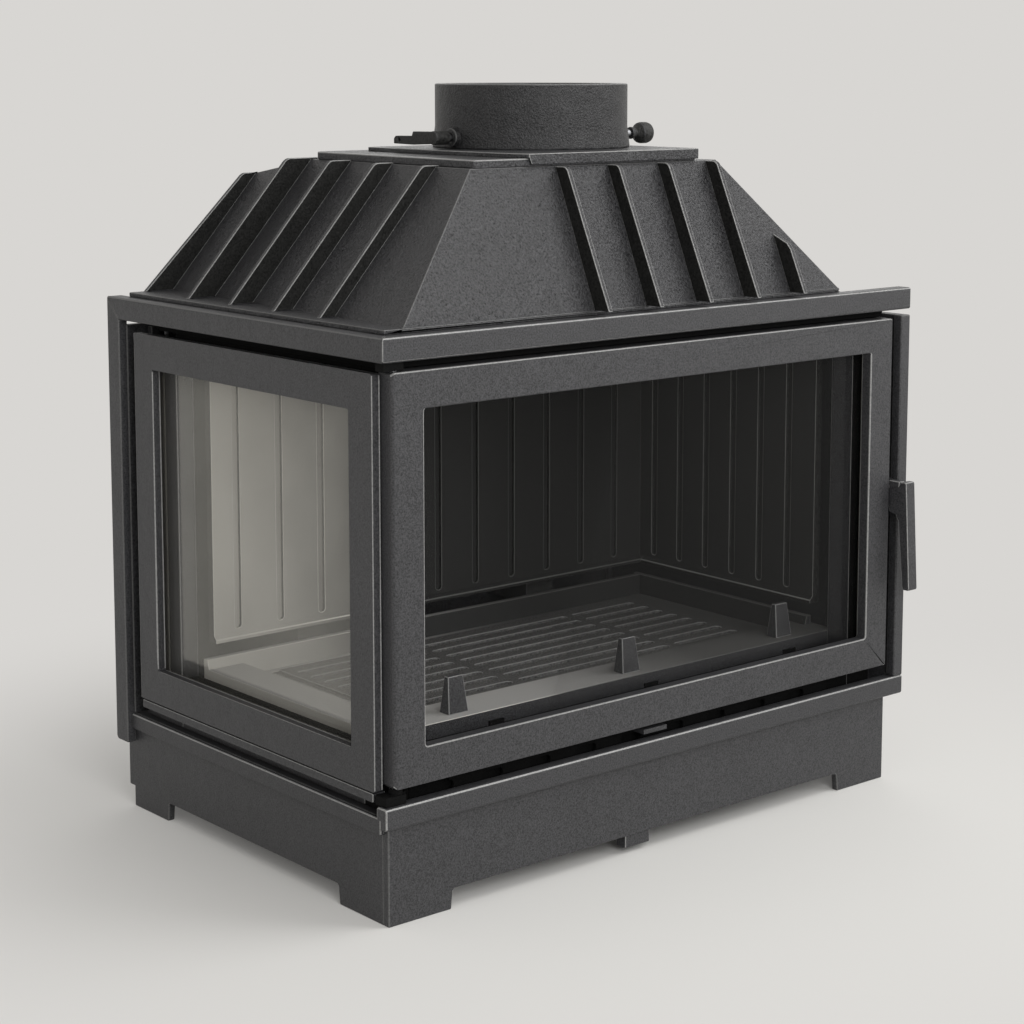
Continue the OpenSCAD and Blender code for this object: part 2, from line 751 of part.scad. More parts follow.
module hood_front_fins() color(cast) difference() {
    intersection() {
        for (i = [0 : front_fins - 1]) {
            x = 256.5 * plan + i * front_fin_pitch;
            along_x(x, fin_t) intersection() {
                fin_outline(hood_front - 5.5 - fin_out, 65.3, 8, hood_top - 0.5, cap_y);
                fin_room(x);
            }
        }
        hood_sides(0);
    }
    hood_outside();
}

// Cap plate, its left edge nearly along the hood's turned slope
module cap_outline() {
    r = 4;
    polygon(concat(
        [[cap_x + r, cap_y], [cap_right - 3, cap_y], [cap_right - 3, cap_back]],
        [for (a = [90 : 15 : 180]) [cap_x + cap_turn + 2 * r, cap_back - 2 * r] + 2 * r * [cos(a), sin(a)]],
        [for (a = [180 : 15 : 270]) [cap_x + r, cap_y + r] + r * [cos(a), sin(a)]]
    ));
}

module cap_plate() color(cast) difference() {
    translate([0, 0, hood_top]) linear_extrude(cap_t) cap_outline();
    translate([flue_x, flue_y, hood_top - 1]) cylinder(r = flue_r - flue_wall, h = cap_t + 2);
}

// Flange of the flue collar, with a slanted left end and a lip down over the front of the cap plate
module flue_flange() color(cast) difference() {
    lip_y = cap_y - 3;
    union() {
        translate([0, 0, cap_top]) linear_extrude(flange_t) polygon([
            [flange_x, cap_y + 40], [flange_x + 3, cap_y + 16], [flange_x + 9, lip_y],
            [flange_right, lip_y], [flange_right, flange_back], [flange_x, flange_back]
        ]);
        along_y(lip_y, cap_y - lip_y) polygon([
            [flange_x + 12, hood_top + 2], [flange_right, hood_top + 2],
            [flange_right, cap_top + 1], [flange_x + 9, cap_top + 1]
        ]);
    }
    translate([flue_x, flue_y, cap_top - 1]) cylinder(r = flue_r - flue_wall, h = flange_t + 2);
}

module flue_collar() color(cast) difference() {
    union() {
        translate([flue_x, flue_y, flange_top]) rotate_extrude($fn = 96) polygon([
            [flue_r - flue_wall, 0], [flue_r + 2.5, 0], [flue_r + 2.5, 2], [flue_r, 22],
            [flue_r, flue_h], [flue_r - flue_wall, flue_h]
        ]);
        for (s = [-1, 1]) translate([flue_x, flue_y, damper_z]) rotate([0, s * 90, 0])
            translate([0, 0, flue_r - flue_wall]) cylinder(r = boss_r, h = flue_wall + 7.5);
    }
    rod_x(flue_x - flue_r - 20, flue_y, damper_z, spindle_r + pin_play, 2 * flue_r + 40);
    translate([flue_x, flue_y, flange_top - 1]) cylinder(r = flue_r - flue_wall, h = flue_h + 2, $fn = 96);
}

// Long rods with nuts that clamp the body between its floor and top
module tie_rods() color(steel)
    for (p = rod_places) translate([p.x, p.y, 0]) {
        translate([0, 0, base_h - 9]) cylinder(r = rod_r, h = body_top + 18 - base_h);
        for (z = [base_h - 7 - seat, body_top + seat]) translate([0, 0, z]) cylinder(r = 7, h = 7, $fn = 6);
    }

// Side window: frame with a seating rim, glass and seal on both sides
module side_window_frame() color(cast) {
    along_x(window_x, window_t) ring(window_y, window_z, window_w, window_h, window_rim, 1.5, 2);
    along_x(window_back, side_face - window_back - seat)
        ring(window_y + 8, window_z + 8, window_w - 16, window_h - 16, 8, 1, 1);
}

module side_glass() color([0.7, 0.75, 0.72, 0.35])
    along_x(window_back + glass_seal_t - 0.2, glass_t) round_rect(
        window_y + 20, window_z + 20, window_w - 40, window_h - 40, 3);

module side_glass_seal() color(dark)
    for (x = [window_back, window_back + glass_seal_t + glass_t - 0.2])
        along_x(x, glass_seal_t - 0.2) ring(window_y + 22, window_z + 22, window_w - 44, window_h - 44, 10, 2, 2);

// Hinge blocks above and below the door, with the pins that the door hangs on
pin_in = 20;

module hinge_brackets() color(dark) difference() {
    union() {
        block([door_x - 9, hinge_y - 7.5, ledge_top], [hinge_x + 7, hinge_y + 9, ledge_top + 9]);
        block([hinge_x, hinge_y, ledge_top], [hinge_x + 12, front_face, ledge_top + 9]);
        translate([hinge_x, hinge_y, ledge_top]) cylinder(r = 6.5, h = door_lift - seat);
        block([door_x - 9, hinge_y - 7.5, door_z + door_h + 1], [hinge_x + 7, upstand - 2, body_top]);
    }
    translate([hinge_x, hinge_y, ledge_top - 1]) cylinder(r = hinge_r, h = body_top - ledge_top + 2);
}

module hinge_pins() color(steel) {
    translate([hinge_x, hinge_y, ledge_top]) cylinder(r = hinge_r, h = door_lift + pin_in);
    translate([hinge_x, hinge_y, door_z + door_h - pin_in]) cylinder(
        r = hinge_r, h = body_top - door_z - door_h + pin_in);
}

// Peg across the slot beside the door, in front of the handle's hook
keeper_y = handle_y + 20;
keeper_z = handle_z + 19;

module latch_keeper() color(steel) {
    rod_x(door_right + 1, keeper_y, keeper_z, 4, post_x + 4 - door_right - 1 - seat);
    block([post_x + 1, keeper_y - 9, keeper_z - 12], [post_x + 4 - seat, keeper_y + 9, keeper_z + 12]);
}

// Door frame: one casting with a round outer edge, stepped glass seat, hinge bores and handle bore
door_glass_in = 12;
clip_y = door_y + 14.5 + glass_t;
clip_places = [for (x = [0.2, 0.5, 0.8], s = [0, 1]) [door_x + x * door_w, s]];
function clip_z(s) = s == 0 ? door_z + door_rim - door_glass_in - 8 : door_z + door_h - door_rim + door_glass_in - 14;
function screw_z(s) = clip_z(s) + (s == 0 ? 3.5 : 18.5);

module door_frame() color(cast) difference() {
    intersection() {
        translate([0, 0, door_z]) linear_extrude(door_h) {
            translate([door_x + door_edge_r, door_y]) square([door_w - door_edge_r - 3, door_t]);
            translate([door_x, door_y + door_edge_r]) square([door_w, door_t - door_edge_r]);
            translate([door_x + door_edge_r, door_y + door_edge_r]) circle(door_edge_r);
            translate([door_right - door_edge_r, door_y + 3]) square([door_edge_r, 4]);
            translate([door_right - 3, door_y + 3]) circle(3);
        }
        along_y(door_y - 1, door_t + 2) round_rect(door_x, door_z, door_w, door_h, 4);
    }
    along_y(door_y - 1, door_t + 2)
        round_rect(door_x + door_rim, door_z + door_rim, door_w - 2 * door_rim, door_h - 2 * door_rim, 3);
    along_y(door_y + 13, door_t)
        round_rect(door_x + door_rim - door_glass_in, door_z + door_rim - door_glass_in,
                   door_w - 2 * door_rim + 2 * door_glass_in, door_h - 2 * door_rim + 2 * door_glass_in, 4);
    for (z = [door_z - 1, door_z + door_h - pin_in - 1])
        translate([hinge_x, hinge_y, z]) cylinder(r = hinge_r + pin_play, h = pin_in + 2);
    rod_x(door_right - 22, handle_y, handle_z, 3.5, 30);
    for (c = clip_places) {
        block([c[0] - 9.5, clip_y, clip_z(c[1]) - 0.5], [c[0] + 9.5, door_back + 1, clip_z(c[1]) + 22.5]);
        rod_y(c[0], clip_y - 5, screw_z(c[1]), 2, 8);
    }
}

glass_gap = 1;

module door_glass() color([0.6, 0.65, 0.66, 0.3])
    along_y(door_y + 14.5, glass_t) round_rect(
        door_x + door_rim - door_glass_in + glass_gap, door_z + door_rim - door_glass_in + glass_gap,
        door_w - 2 * (door_rim - door_glass_in + glass_gap), door_h - 2 * (door_rim - door_glass_in + glass_gap), 3);

module door_glass_seal() color(dark) along_y(door_y + 13, 1.5)
    ring(door_x + door_rim - door_glass_in + 1, door_z + door_rim - door_glass_in + 1,
         door_w - 2 * (door_rim - door_glass_in + 1), door_h - 2 * (door_rim - door_glass_in + 1), 9, 3, 2);

module door_rope_seal() color([0.3, 0.3, 0.3]) along_y(door_back, seal_t)
    ring(door_x + 15, door_z + 6, door_w - 30, door_h - 12, 7, 8, 5);

// Bent clips that hold the glass from behind
module door_glass_clips() color(steel)
    for (c = clip_places) difference() {
        block([c[0] - 9, clip_y, clip_z(c[1])], [c[0] + 9, clip_y + 2, clip_z(c[1]) + 22]);
        rod_y(c[0], clip_y - 1, screw_z(c[1]), 2.1, 5);
    }

module door_clip_screws() color(steel)
    for (c = clip_places) {
        rod_y(c[0], clip_y - 5, screw_z(c[1]), 2, 7);
        rod_y(c[0], clip_y + 2, screw_z(c[1]), 3.4, 1.2);
    }

// Pull handle: a grip that leans out, a shank through the slot and a hook behind
handle_hole = 3.5 + pin_play;

module handle_pin() color(steel) rod_x(door_right - 22, handle_y, handle_z, 3.5, handle_w + 18.5);

module handle() color(cast) {
    gx = handle_x;
    difference() {
        union() {
            along_x(gx, handle_w) translate([handle_y, handle_z]) polygon([
                [-26.6, 6], [-20, 6], [-14, -3], [-14, -31], [-15, -34], [-17.5, -37],
                [-24.8, 2 - grip_len], [-26, -grip_len], [-33, -grip_len], [-34, 2 - grip_len], [-27.5, 4]
            ]);
            along_x(gx, 8.5) translate([handle_y, handle_z]) polygon([
                [-18, 6], [-3, 6], [3, 8], [8, 6], [16, 4], [22, 12], [27, 12], [27, -8],
                [6, -12], [-3, -22], [-5, -29], [-15, -31]
            ]);
        }
        rod_x(gx - 1, handle_y, handle_z, handle_hole, 12);
    }
}

// Sliding air plate behind the ledge, with its finger tab
slider_y = door_back - 1.4;
slider_len = (air_holes - 1) * air_pitch + 40;
slider_x = base_w / 2 - slider_len / 2;

module air_slider() color(steel) {
    difference() {
        block([slider_x, slider_y, slider_z0], [slider_x + slider_len, front_face - seat - 0.2, slider_z0 + 20]);
        for (i = [0 : air_holes - 1])
            translate([base_w / 2 + (i - (air_holes - 1) / 2) * air_pitch - 28, 0, 0])
                along_y(slider_y - 1, 10) round_rect(-13, floor_top + 7.5, 26, 9, 4);
    }
    block([slider_x + slider_len / 2 - 26, -4, slider_z1 - 5], [slider_x + slider_len / 2 + 6, slider_y + 3, slider_z1]);
    block([slider_x + slider_len / 2 - 26, slider_y, slider_z0 + 19], [slider_x + slider_len / 2 + 6, slider_y + 3, slider_z1]);
}

// Butterfly damper: disc with a hub tube, spindle, lever and knob
disc_r = flue_r - flue_wall - 6;

module damper_disc() color(dark) difference() {
    union() {
        translate([flue_x, flue_y, damper_z - 2]) cylinder(r = disc_r, h = 4, $fn = 96);
        rod_x(flue_x - 60, flue_y, damper_z, spindle_r + 3.5, 120);
    }
    rod_x(flue_x - disc_r - 1, flue_y, damper_z, spindle_r, 2 * disc_r + 2);
}

module damper_spindle() color(steel) rod_x(lever_x + 6, flue_y, damper_z, spindle_r, flue_x - lever_x + 141.5);

module damper_lever() color(cast) difference() {
    union() {
        along_x(lever_x, 6) translate([flue_y, damper_z]) {
            circle(7);
            polygon([[-2, -6], [-2, 6.5], [33, 6], [35, 1.5], [62, 1], [65, -1.5], [65, -7], [33, -7.5]]);
        }
        rod_x(lever_x + 6 - seat, flue_y, damper_z, 7, 12);
    }
    rod_x(lever_x + 6, flue_y, damper_z, spindle_r, 13);
    rod_x(lever_x - 1, flue_y + 56, damper_z - 3, 2.2, 8);
}

module damper_knob() color(cast) translate([flue_x + 140, flue_y, damper_z]) rotate([0, 90, 0])
    difference() {
        rotate_extrude() polygon([
            [0, 0], [6.5, 0], [6.5, 3], [5.2, 5], [5.2, 8], [8, 11], [10.8, 13], [11.5, 16], [11.5, 23],
            [10.5, 26.5], [8, 28.6], [4, 29.6], [0, 29.8]
        ]);
        translate([0, 0, -1]) cylinder(r = spindle_r, h = 9);
    }

place() base_front_plate();
place() base_left_plate();
place() base_right_plate();
place() base_rear_plate();
place() bottom_plate();
place() front_ledge_bar();
place() side_ledge_bar();
place() ash_box();
place() ash_pan();
place() ash_air_shutter();
place() hearth_plate();
place() grate();
place() log_posts();
place() front_bottom_rail();
place() front_top_rail();
place() right_jamb();
place() corner_post();
place() side_bottom_rail();
place() side_top_rail();
place() rear_jamb();
place() right_wall();
place() back_wall();
place() fireback();
place() right_liner();
place() fireback_brackets();
place() baffle();
place() baffle_lugs();
place() top_plate();
place() mantel_front_bar();
place() mantel_left_bar();
place() left_rear_post();
place() right_front_post();
place() hood();
place() hood_left_fins();
place() hood_front_fins();
place() cap_plate();
place() flue_flange();
place() flue_collar();
place() tie_rods();
place() side_window_frame();
place() side_glass();
place() side_glass_seal();
place() hinge_brackets();
place() hinge_pins();
place() latch_keeper();
place() door_frame();
place() door_glass();
place() door_glass_seal();
place() door_rope_seal();
place() door_glass_clips();
place() door_clip_screws();
place() handle_pin();
place() handle();
place() air_slider();
place() damper_disc();
place() damper_spindle();
place() damper_lever();
place() damper_knob();
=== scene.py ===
import json
import math

import bmesh
import bpy
from bpy.props import FloatProperty, FloatVectorProperty, PointerProperty
from mathutils import Matrix, Vector

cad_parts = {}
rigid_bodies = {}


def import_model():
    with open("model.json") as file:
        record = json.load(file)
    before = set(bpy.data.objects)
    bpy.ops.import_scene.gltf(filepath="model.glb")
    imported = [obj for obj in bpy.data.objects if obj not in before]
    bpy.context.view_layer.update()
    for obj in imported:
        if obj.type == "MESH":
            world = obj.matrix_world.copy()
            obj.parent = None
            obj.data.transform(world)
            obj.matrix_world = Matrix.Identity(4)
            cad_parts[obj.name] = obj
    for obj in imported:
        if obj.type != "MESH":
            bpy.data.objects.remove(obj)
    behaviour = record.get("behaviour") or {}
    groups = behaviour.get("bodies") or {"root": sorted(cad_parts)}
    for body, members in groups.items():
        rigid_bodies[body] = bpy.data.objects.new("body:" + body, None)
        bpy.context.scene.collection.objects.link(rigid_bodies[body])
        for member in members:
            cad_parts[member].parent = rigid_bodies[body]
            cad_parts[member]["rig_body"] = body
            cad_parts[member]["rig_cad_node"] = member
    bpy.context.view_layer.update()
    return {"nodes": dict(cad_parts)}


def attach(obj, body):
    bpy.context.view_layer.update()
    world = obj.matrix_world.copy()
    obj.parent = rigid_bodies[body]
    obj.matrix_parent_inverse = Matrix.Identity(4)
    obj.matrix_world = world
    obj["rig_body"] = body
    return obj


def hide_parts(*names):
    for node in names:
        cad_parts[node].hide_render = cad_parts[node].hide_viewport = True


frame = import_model()

bl_info = {
    "name": "Corner fireplace insert",
    "version": (1, 0, 0),
    "blender": (4, 5, 0),
    "location": "View3D > Sidebar > Fireplace",
    "description": "Builds the castings, glass, controls and stage of a corner fireplace insert",
    "category": "Add Mesh",
}

MM = 0.001

# Real sizes of the patterns that no slider changes
SWELL_WIDTH = 22 * MM
TONE_WIDTH = 70 * MM
ASH_DRIFT = 60 * MM
LINING_GRAIN = 2.2 * MM
SEAM_HALF_WIDTH = 0.45 * MM
STAIN_WIDTH = 12 * MM
STRAND_WIDTH = 1.5 * MM
PAINTED_REFLECTION_CLOUD = 120 * MM
# Real tool marks are 0.2 mm apart; they are drawn 0.8 mm apart so that they show
TOOL_MARKS = 0.8 * MM
# A wave texture of scale 1 repeats about every 0.3 m
WAVE_PERIOD = 0.3
# Most of a noise texture lies between these two values
NOISE_LOW, NOISE_HIGH = 0.3, 0.7

# The mitred frames: the axis that runs across, then the lower left and the upper right corner
DOOR_CORNERS = ("X", (-342.55 * MM, 131 * MM), (330.45 * MM, 513 * MM))
WINDOW_CORNERS = ("Y", (-205.5 * MM, 127 * MM), (203.5 * MM, 511 * MM))
# The painted reflection on the side glass, a milky veil: its rear and its lower border, how much
# it differs from place to place, and the share of it that is left outside the border
PAINTED_REFLECTION_BORDER = (142 * MM, 179 * MM)
PAINTED_REFLECTION_SPREAD = 0.12
PAINTED_REFLECTION_OUTSIDE = 0.3
# The share of a shallow reflection that hides what is behind the glass
EDGE_GLARE = 0.25

# How the merged copies are cleaned, rounded and shaded
MERGE_DISTANCE = 2e-6
FLAT_ANGLE = math.radians(1)
SHARP_ANGLE = math.radians(30)
SMOOTH_ANGLE = math.radians(34)
LONG_EDGE = 8 * MM

# The part of a face's normal along an axis, by which the finishes are given out
SQUARE_ON = 0.98
NEARLY_SQUARE = 0.9
LOOKS_UP = 0.7
LOOKS_ACROSS = 0.5
LOOKS_DOWN = -0.3
LEANS_LEAST, LEANS_MOST = 0.4, 0.87

# The camera, measured from the object's straight edges in the photo; the lens in millimetres
CAMERA_PLACE = (-1.52178, -1.79086, 0.78247)
CAMERA_YAW, CAMERA_PITCH = 0.6987, 0.1301
FOCAL_LENGTH, SENSOR_WIDTH = 78.75, 36
CAMERA_SHIFT = -0.15

MIDDLE = (0, 0, 0.38)
# (name, place, target, side in metres, power in watts)
LAMPS = (
    ("Key soft box", (-0.95, -2.4, 1.3), (0, 0, 0.34), 1.3, 30),
    # Low and to the right, so that it reaches through the door to the lining's left half
    ("Chamber soft box", (1.7, -1.9, 0.95), (-0.2, 0.1, 0.3), 1.0, 9),
    ("Top soft box", (1.35, -1.2, 2.4), MIDDLE, 1.8, 34),
    ("Back soft box", (1.8, 2.0, 1.6), MIDDLE, 1.6, 8),
)
# The room's even light is a little warm
ROOM_LIGHT, ROOM_LEVEL = (1, 0.985, 0.95, 1), 0.40
FLOOR_RADIUS = 14
# Between these distances from the insert's middle the paper glows into the backdrop, a painted
# light on its shadow
FADE_START, FADE_END = 0.15, 1.0
FIBRES_PER_METRE = 900


def linear(hex_colour):
    """An sRGB hex colour as Blender's linear red, green and blue."""
    parts = [int(hex_colour[i:i + 2], 16) / 255 for i in (1, 3, 5)]
    return [c / 12.92 if c <= 0.04045 else ((c + 0.055) / 1.055) ** 2.4 for c in parts]


def colour_property(name, description, hex_colour):
    """A colour that the sidebar offers."""
    return FloatVectorProperty(
        name=name, description=description, default=linear(hex_colour),
        subtype="COLOR", min=0, max=1, size=3)


def width_property(name, description, default, low, high):
    """A small length that the sidebar offers, given in millimetres."""
    return FloatProperty(
        name=name, description=description, default=default * MM, min=low * MM, max=high * MM,
        subtype="DISTANCE", unit="LENGTH")


class FireplaceSizes(bpy.types.PropertyGroup):
    """Sizes of what the foundry and the finisher leave on the castings."""
    corner_round: width_property(
        "Corner rounding", "Radius of the dressed outer corners of the castings", 1.3, 0.2, 3)
    small_round: width_property(
        "Small rounding", "Radius of the corners of small fittings and thin ribs", 0.8, 0.1, 2)
    paint_grain: width_property(
        "Paint grain", "Width of the grain of heat-proof paint over cast iron", 1.6, 0.3, 4)
    sand_grain: width_property(
        "Sand grain", "Width of the lumps that moulding sand leaves on the hood", 2.0, 0.5, 8)


class FireplaceColours(bpy.types.PropertyGroup):
    """Colours of the finishes."""
    paint: colour_property("Paint", "Heat-proof paint on the frames and bars", "#353537")
    # Partly rubbed paint and partly a painted highlight on the corners
    worn_highlight: colour_property("Worn edge with painted highlight", "Paint rubbed thin on a corner, with a painted highlight", "#8f8f8e")
    # A weak painted highlight on corners that are only a little rubbed
    faint: colour_property("Faint edge", "Paint that is only a little rubbed, with a weak painted highlight", "#565656")
    hood: colour_property("Hood", "Rough painted hood and flue collar", "#323234")
    # Dark painted shade on the sides of the fins
    flank: colour_property("Fin flank", "Painted shade on the sides of the fins", "#1b1b1a")
    # Near-black painted shade for what is seen in the gaps
    gap: colour_property("Gap", "Near-black painted shade inside the gaps", "#0a0a0a")
    chamber: colour_property("Soot", "Soot on the iron of the fire chamber", "#222221")
    # The pale side of the lining: ash and painted window light
    ash: colour_property("Ash", "Pale ash and painted window light on the lining by the side window", "#c8c5bd")
    dust: colour_property("Dust", "Fine ash rubbed into the hearth and the grate", "#787775")
    steel: colour_property("Steel", "Plain turned steel of pins and rods", "#8b8c8e")
    sheet: colour_property("Sheet steel", "Painted sheet steel", "#2c2c2e")
    rope: colour_property("Rope", "Glass-fibre rope and tape", "#6f6d67")
    glass: colour_property("Glass", "Clean ceramic glass", "#1b1b1a")
    # A milky veil painted on the side glass as the pale room's reflection
    reflection_veil: colour_property("Painted reflection", "Milky veil painted on the side glass as the pale room's reflection", "#d0cec6")
    paper: colour_property("Floor", "Pale paper under the insert", "#e8e7e4")
    backdrop: colour_property("Backdrop", "Plain pale surroundings", "#d8d6d3")


def fill_inputs(tree, node, inputs):
    """Links each input of a node to the socket given for it, or else sets it to the value."""
    for name, value in inputs.items():
        if isinstance(value, bpy.types.NodeSocket):
            tree.links.new(value, node.inputs[name])
        else:
            node.inputs[name].default_value = value


def add_node(tree, kind, inputs=None, **settings):
    """Adds a node, sets its properties, and fills or links its inputs."""
    node = tree.nodes.new(kind)
    for name, value in settings.items():
        setattr(node, name, value)
    fill_inputs(tree, node, inputs or {})
    return node


def new_material(name):
    """A named material with a Principled shader, its output and the object's own coordinates."""
    material = bpy.data.materials.new(name)
    material.use_nodes = True
    tree = material.node_tree
    tree.nodes.clear()
    output = add_node(tree, "ShaderNodeOutputMaterial")
    shader = add_node(tree, "ShaderNodeBsdfPrincipled")
    tree.links.new(shader.outputs["BSDF"], output.inputs["Surface"])
    place = add_node(tree, "ShaderNodeTexCoord").outputs["Object"]
    return material, tree, shader, place


def shaded(colour, share):
    """A colour made lighter or darker by a share."""
    return [min(1.0, c * share) for c in colour]


def rgba(colour, share=1.0):
    """The same with the alpha that a node's socket needs."""
    return shaded(colour, share) + [1.0]


def cast_material(name, colour, grain, relief, rough, spread=0.12, shine=0.5, swells=3.0,
                  seams=None):
    """Iron cast in sand and painted: a fine grain from the paint and low swells from the sand,
    with a tone, gloss and glint that differ from grain to grain by the spread."""
    material, tree, shader, place = new_material(name)
    fine = add_node(tree, "ShaderNodeTexNoise", {
        "Vector": place, "Scale": 1 / grain, "Detail": 3.0, "Roughness": 0.6}).outputs["Fac"]
    # The sand packs unevenly, so the surface swells
    swell = add_node(tree, "ShaderNodeTexNoise", {
        "Vector": place, "Scale": 1 / SWELL_WIDTH, "Detail": 2.0}).outputs["Fac"]
    height = add_node(tree, "ShaderNodeMath", {
        0: swell, 1: swells, 2: fine}, operation="MULTIPLY_ADD")
    bump = add_node(tree, "ShaderNodeBump", {
        "Height": height.outputs[0], "Strength": 1.0, "Distance": relief})
    tone = add_node(tree, "ShaderNodeTexNoise", {
        "Vector": place, "Scale": 1 / TONE_WIDTH, "Detail": 4.0}).outputs["Fac"]
    shade = add_node(tree, "ShaderNodeMix", {
        "Factor": tone, "A": rgba(colour, 1 - spread), "B": rgba(colour, 1 + spread)},
        data_type="RGBA").outputs["Result"]
    # The lowest and the highest tone, roughness and glint of a grain: each is a little lighter or
    # darker than the next, and the pits between them reflect less
    spans = (
        (1 - 4 * spread, 1 + 4 * spread),
        (rough - spread, rough + spread),
        (shine * (1 - 3 * spread), shine * (1 + 3 * spread)),
    )
    speck, gloss, glint = [
        add_node(tree, "ShaderNodeMapRange", {
            "Value": fine, "From Min": NOISE_LOW, "From Max": NOISE_HIGH,
            "To Min": low, "To Max": high}).outputs["Result"]
        for low, high in spans]
    surface = add_node(tree, "ShaderNodeVectorMath", {
        0: shade, 1: speck}, operation="MULTIPLY").outputs["Vector"]
    if seams:
        surface = seam_colour(tree, place, surface, colour, seams)
    fill_inputs(tree, shader, {
        "Base Color": surface, "Roughness": gloss, "Specular IOR Level": glint,
        "Normal": bump.outputs["Normal"]})
    return material


def seam_colour(tree, place, surface, colour, seams):
    """Dark hairlines at 45 degrees across a frame's corners, where its bars are mitred."""
    across, low, high = seams
    axes = add_node(tree, "ShaderNodeSeparateXYZ", {"Vector": place})
    reach = []
    for axis, start, end in ((across, low[0], high[0]), ("Z", low[1], high[1])):
        off = add_node(tree, "ShaderNodeMath", {
            0: axes.outputs[axis], 1: (start + end) / 2}, operation="SUBTRACT")
        size = add_node(tree, "ShaderNodeMath", {0: off.outputs[0]}, operation="ABSOLUTE")
        reach.append(add_node(tree, "ShaderNodeMath", {
            0: size.outputs[0], 1: (end - start) / 2}, operation="SUBTRACT").outputs[0])
    gap = add_node(tree, "ShaderNodeMath", {0: reach[0], 1: reach[1]}, operation="SUBTRACT")
    line = add_node(tree, "ShaderNodeMath", {
        0: gap.outputs[0], 1: 0.0, 2: SEAM_HALF_WIDTH}, operation="COMPARE")
    return add_node(tree, "ShaderNodeMix", {
        "Factor": line.outputs[0], "A": surface, "B": rgba(colour, 0.75)},
        data_type="RGBA").outputs["Result"]


def lining_material(name, soot, ash, west, east, relief, rough):
    """Iron in the fire: sooted on the right, and pale on the left by the side window, with ash
    and painted window light. The one turns into the other between the places west and east on X."""
    material, tree, shader, place = new_material(name)
    axes = add_node(tree, "ShaderNodeSeparateXYZ", {"Vector": place})
    cloud = add_node(tree, "ShaderNodeTexNoise", {
        "Vector": place, "Scale": 1 / ASH_DRIFT, "Detail": 4.0})
    # The border between ash and soot wanders by as much as its clouds are wide
    drift = add_node(tree, "ShaderNodeMath", {
        0: cloud.outputs["Fac"], 1: ASH_DRIFT, 2: axes.outputs["X"]}, operation="MULTIPLY_ADD")
    soot_share = add_node(tree, "ShaderNodeMapRange", {
        "Value": drift.outputs[0], "From Min": west + ASH_DRIFT / 2,
        "From Max": east + ASH_DRIFT / 2}, interpolation_type="SMOOTHSTEP").outputs["Result"]
    shade = add_node(tree, "ShaderNodeMix", {
        "Factor": soot_share, "A": rgba(ash), "B": rgba(soot)}, data_type="RGBA")
    grain = add_node(tree, "ShaderNodeTexNoise", {
        "Vector": place, "Scale": 1 / LINING_GRAIN, "Detail": 3.0,
        "Roughness": 0.6}).outputs["Fac"]
    bump = add_node(tree, "ShaderNodeBump", {
        "Height": grain, "Strength": 1.0, "Distance": relief})
    gloss = add_node(tree, "ShaderNodeMapRange", {
        "Value": grain, "To Min": rough - 0.1, "To Max": rough + 0.1})
    fill_inputs(tree, shader, {
        "Base Color": shade.outputs["Result"], "Roughness": gloss.outputs["Result"],
        "Normal": bump.outputs["Normal"]})
    return material


def steel_material(name, colour, rough):
    """Steel turned in a lathe: fine tool marks, and dull stains that break up the light."""
    material, tree, shader, place = new_material(name)
    marks = add_node(tree, "ShaderNodeTexNoise", {
        "Vector": place, "Scale": 1 / TOOL_MARKS, "Detail": 2.0})
    bump = add_node(tree, "ShaderNodeBump", {
        "Height": marks.outputs["Fac"], "Strength": 0.3, "Distance": 0.03 * MM})
    stain = add_node(tree, "ShaderNodeTexNoise", {
        "Vector": place, "Scale": 1 / STAIN_WIDTH, "Detail": 4.0}).outputs["Fac"]
    shade = add_node(tree, "ShaderNodeMix", {
        "Factor": stain, "A": rgba(colour, 0.7), "B": rgba(colour, 1.1)}, data_type="RGBA")
    gloss = add_node(tree, "ShaderNodeMapRange", {
        "Value": stain, "To Min": rough - 0.1, "To Max": rough + 0.15})
    fill_inputs(tree, shader, {
        "Base Color": shade.outputs["Result"], "Roughness": gloss.outputs["Result"],
        "Normal": bump.outputs["Normal"], "Metallic": 1.0})
    return material


def rope_material(name, colour):
    """Plaited glass fibre: short slanted strands, soft and without gloss."""
    material, tree, shader, place = new_material(name)
    # Radians: the strands cross at about 45 degrees
    slant = 0.78
    turned = add_node(tree, "ShaderNodeMapping", {
        "Vector": place, "Rotation": (slant, slant, slant)})
    wave = add_node(tree, "ShaderNodeTexWave", {
        "Vector": turned.outputs["Vector"], "Scale": WAVE_PERIOD / STRAND_WIDTH,
        "Distortion": 1.5, "Detail": 2.0}).outputs["Fac"]
    bump = add_node(tree, "ShaderNodeBump", {
        "Height": wave, "Strength": 0.8, "Distance": 0.3 * MM})
    shade = add_node(tree, "ShaderNodeMix", {
        "Factor": wave, "A": rgba(colour, 0.6), "B": rgba(colour, 1.15)}, data_type="RGBA")
    fill_inputs(tree, shader, {
        "Base Color": shade.outputs["Result"], "Normal": bump.outputs["Normal"],
        "Roughness": 0.95})
    return material


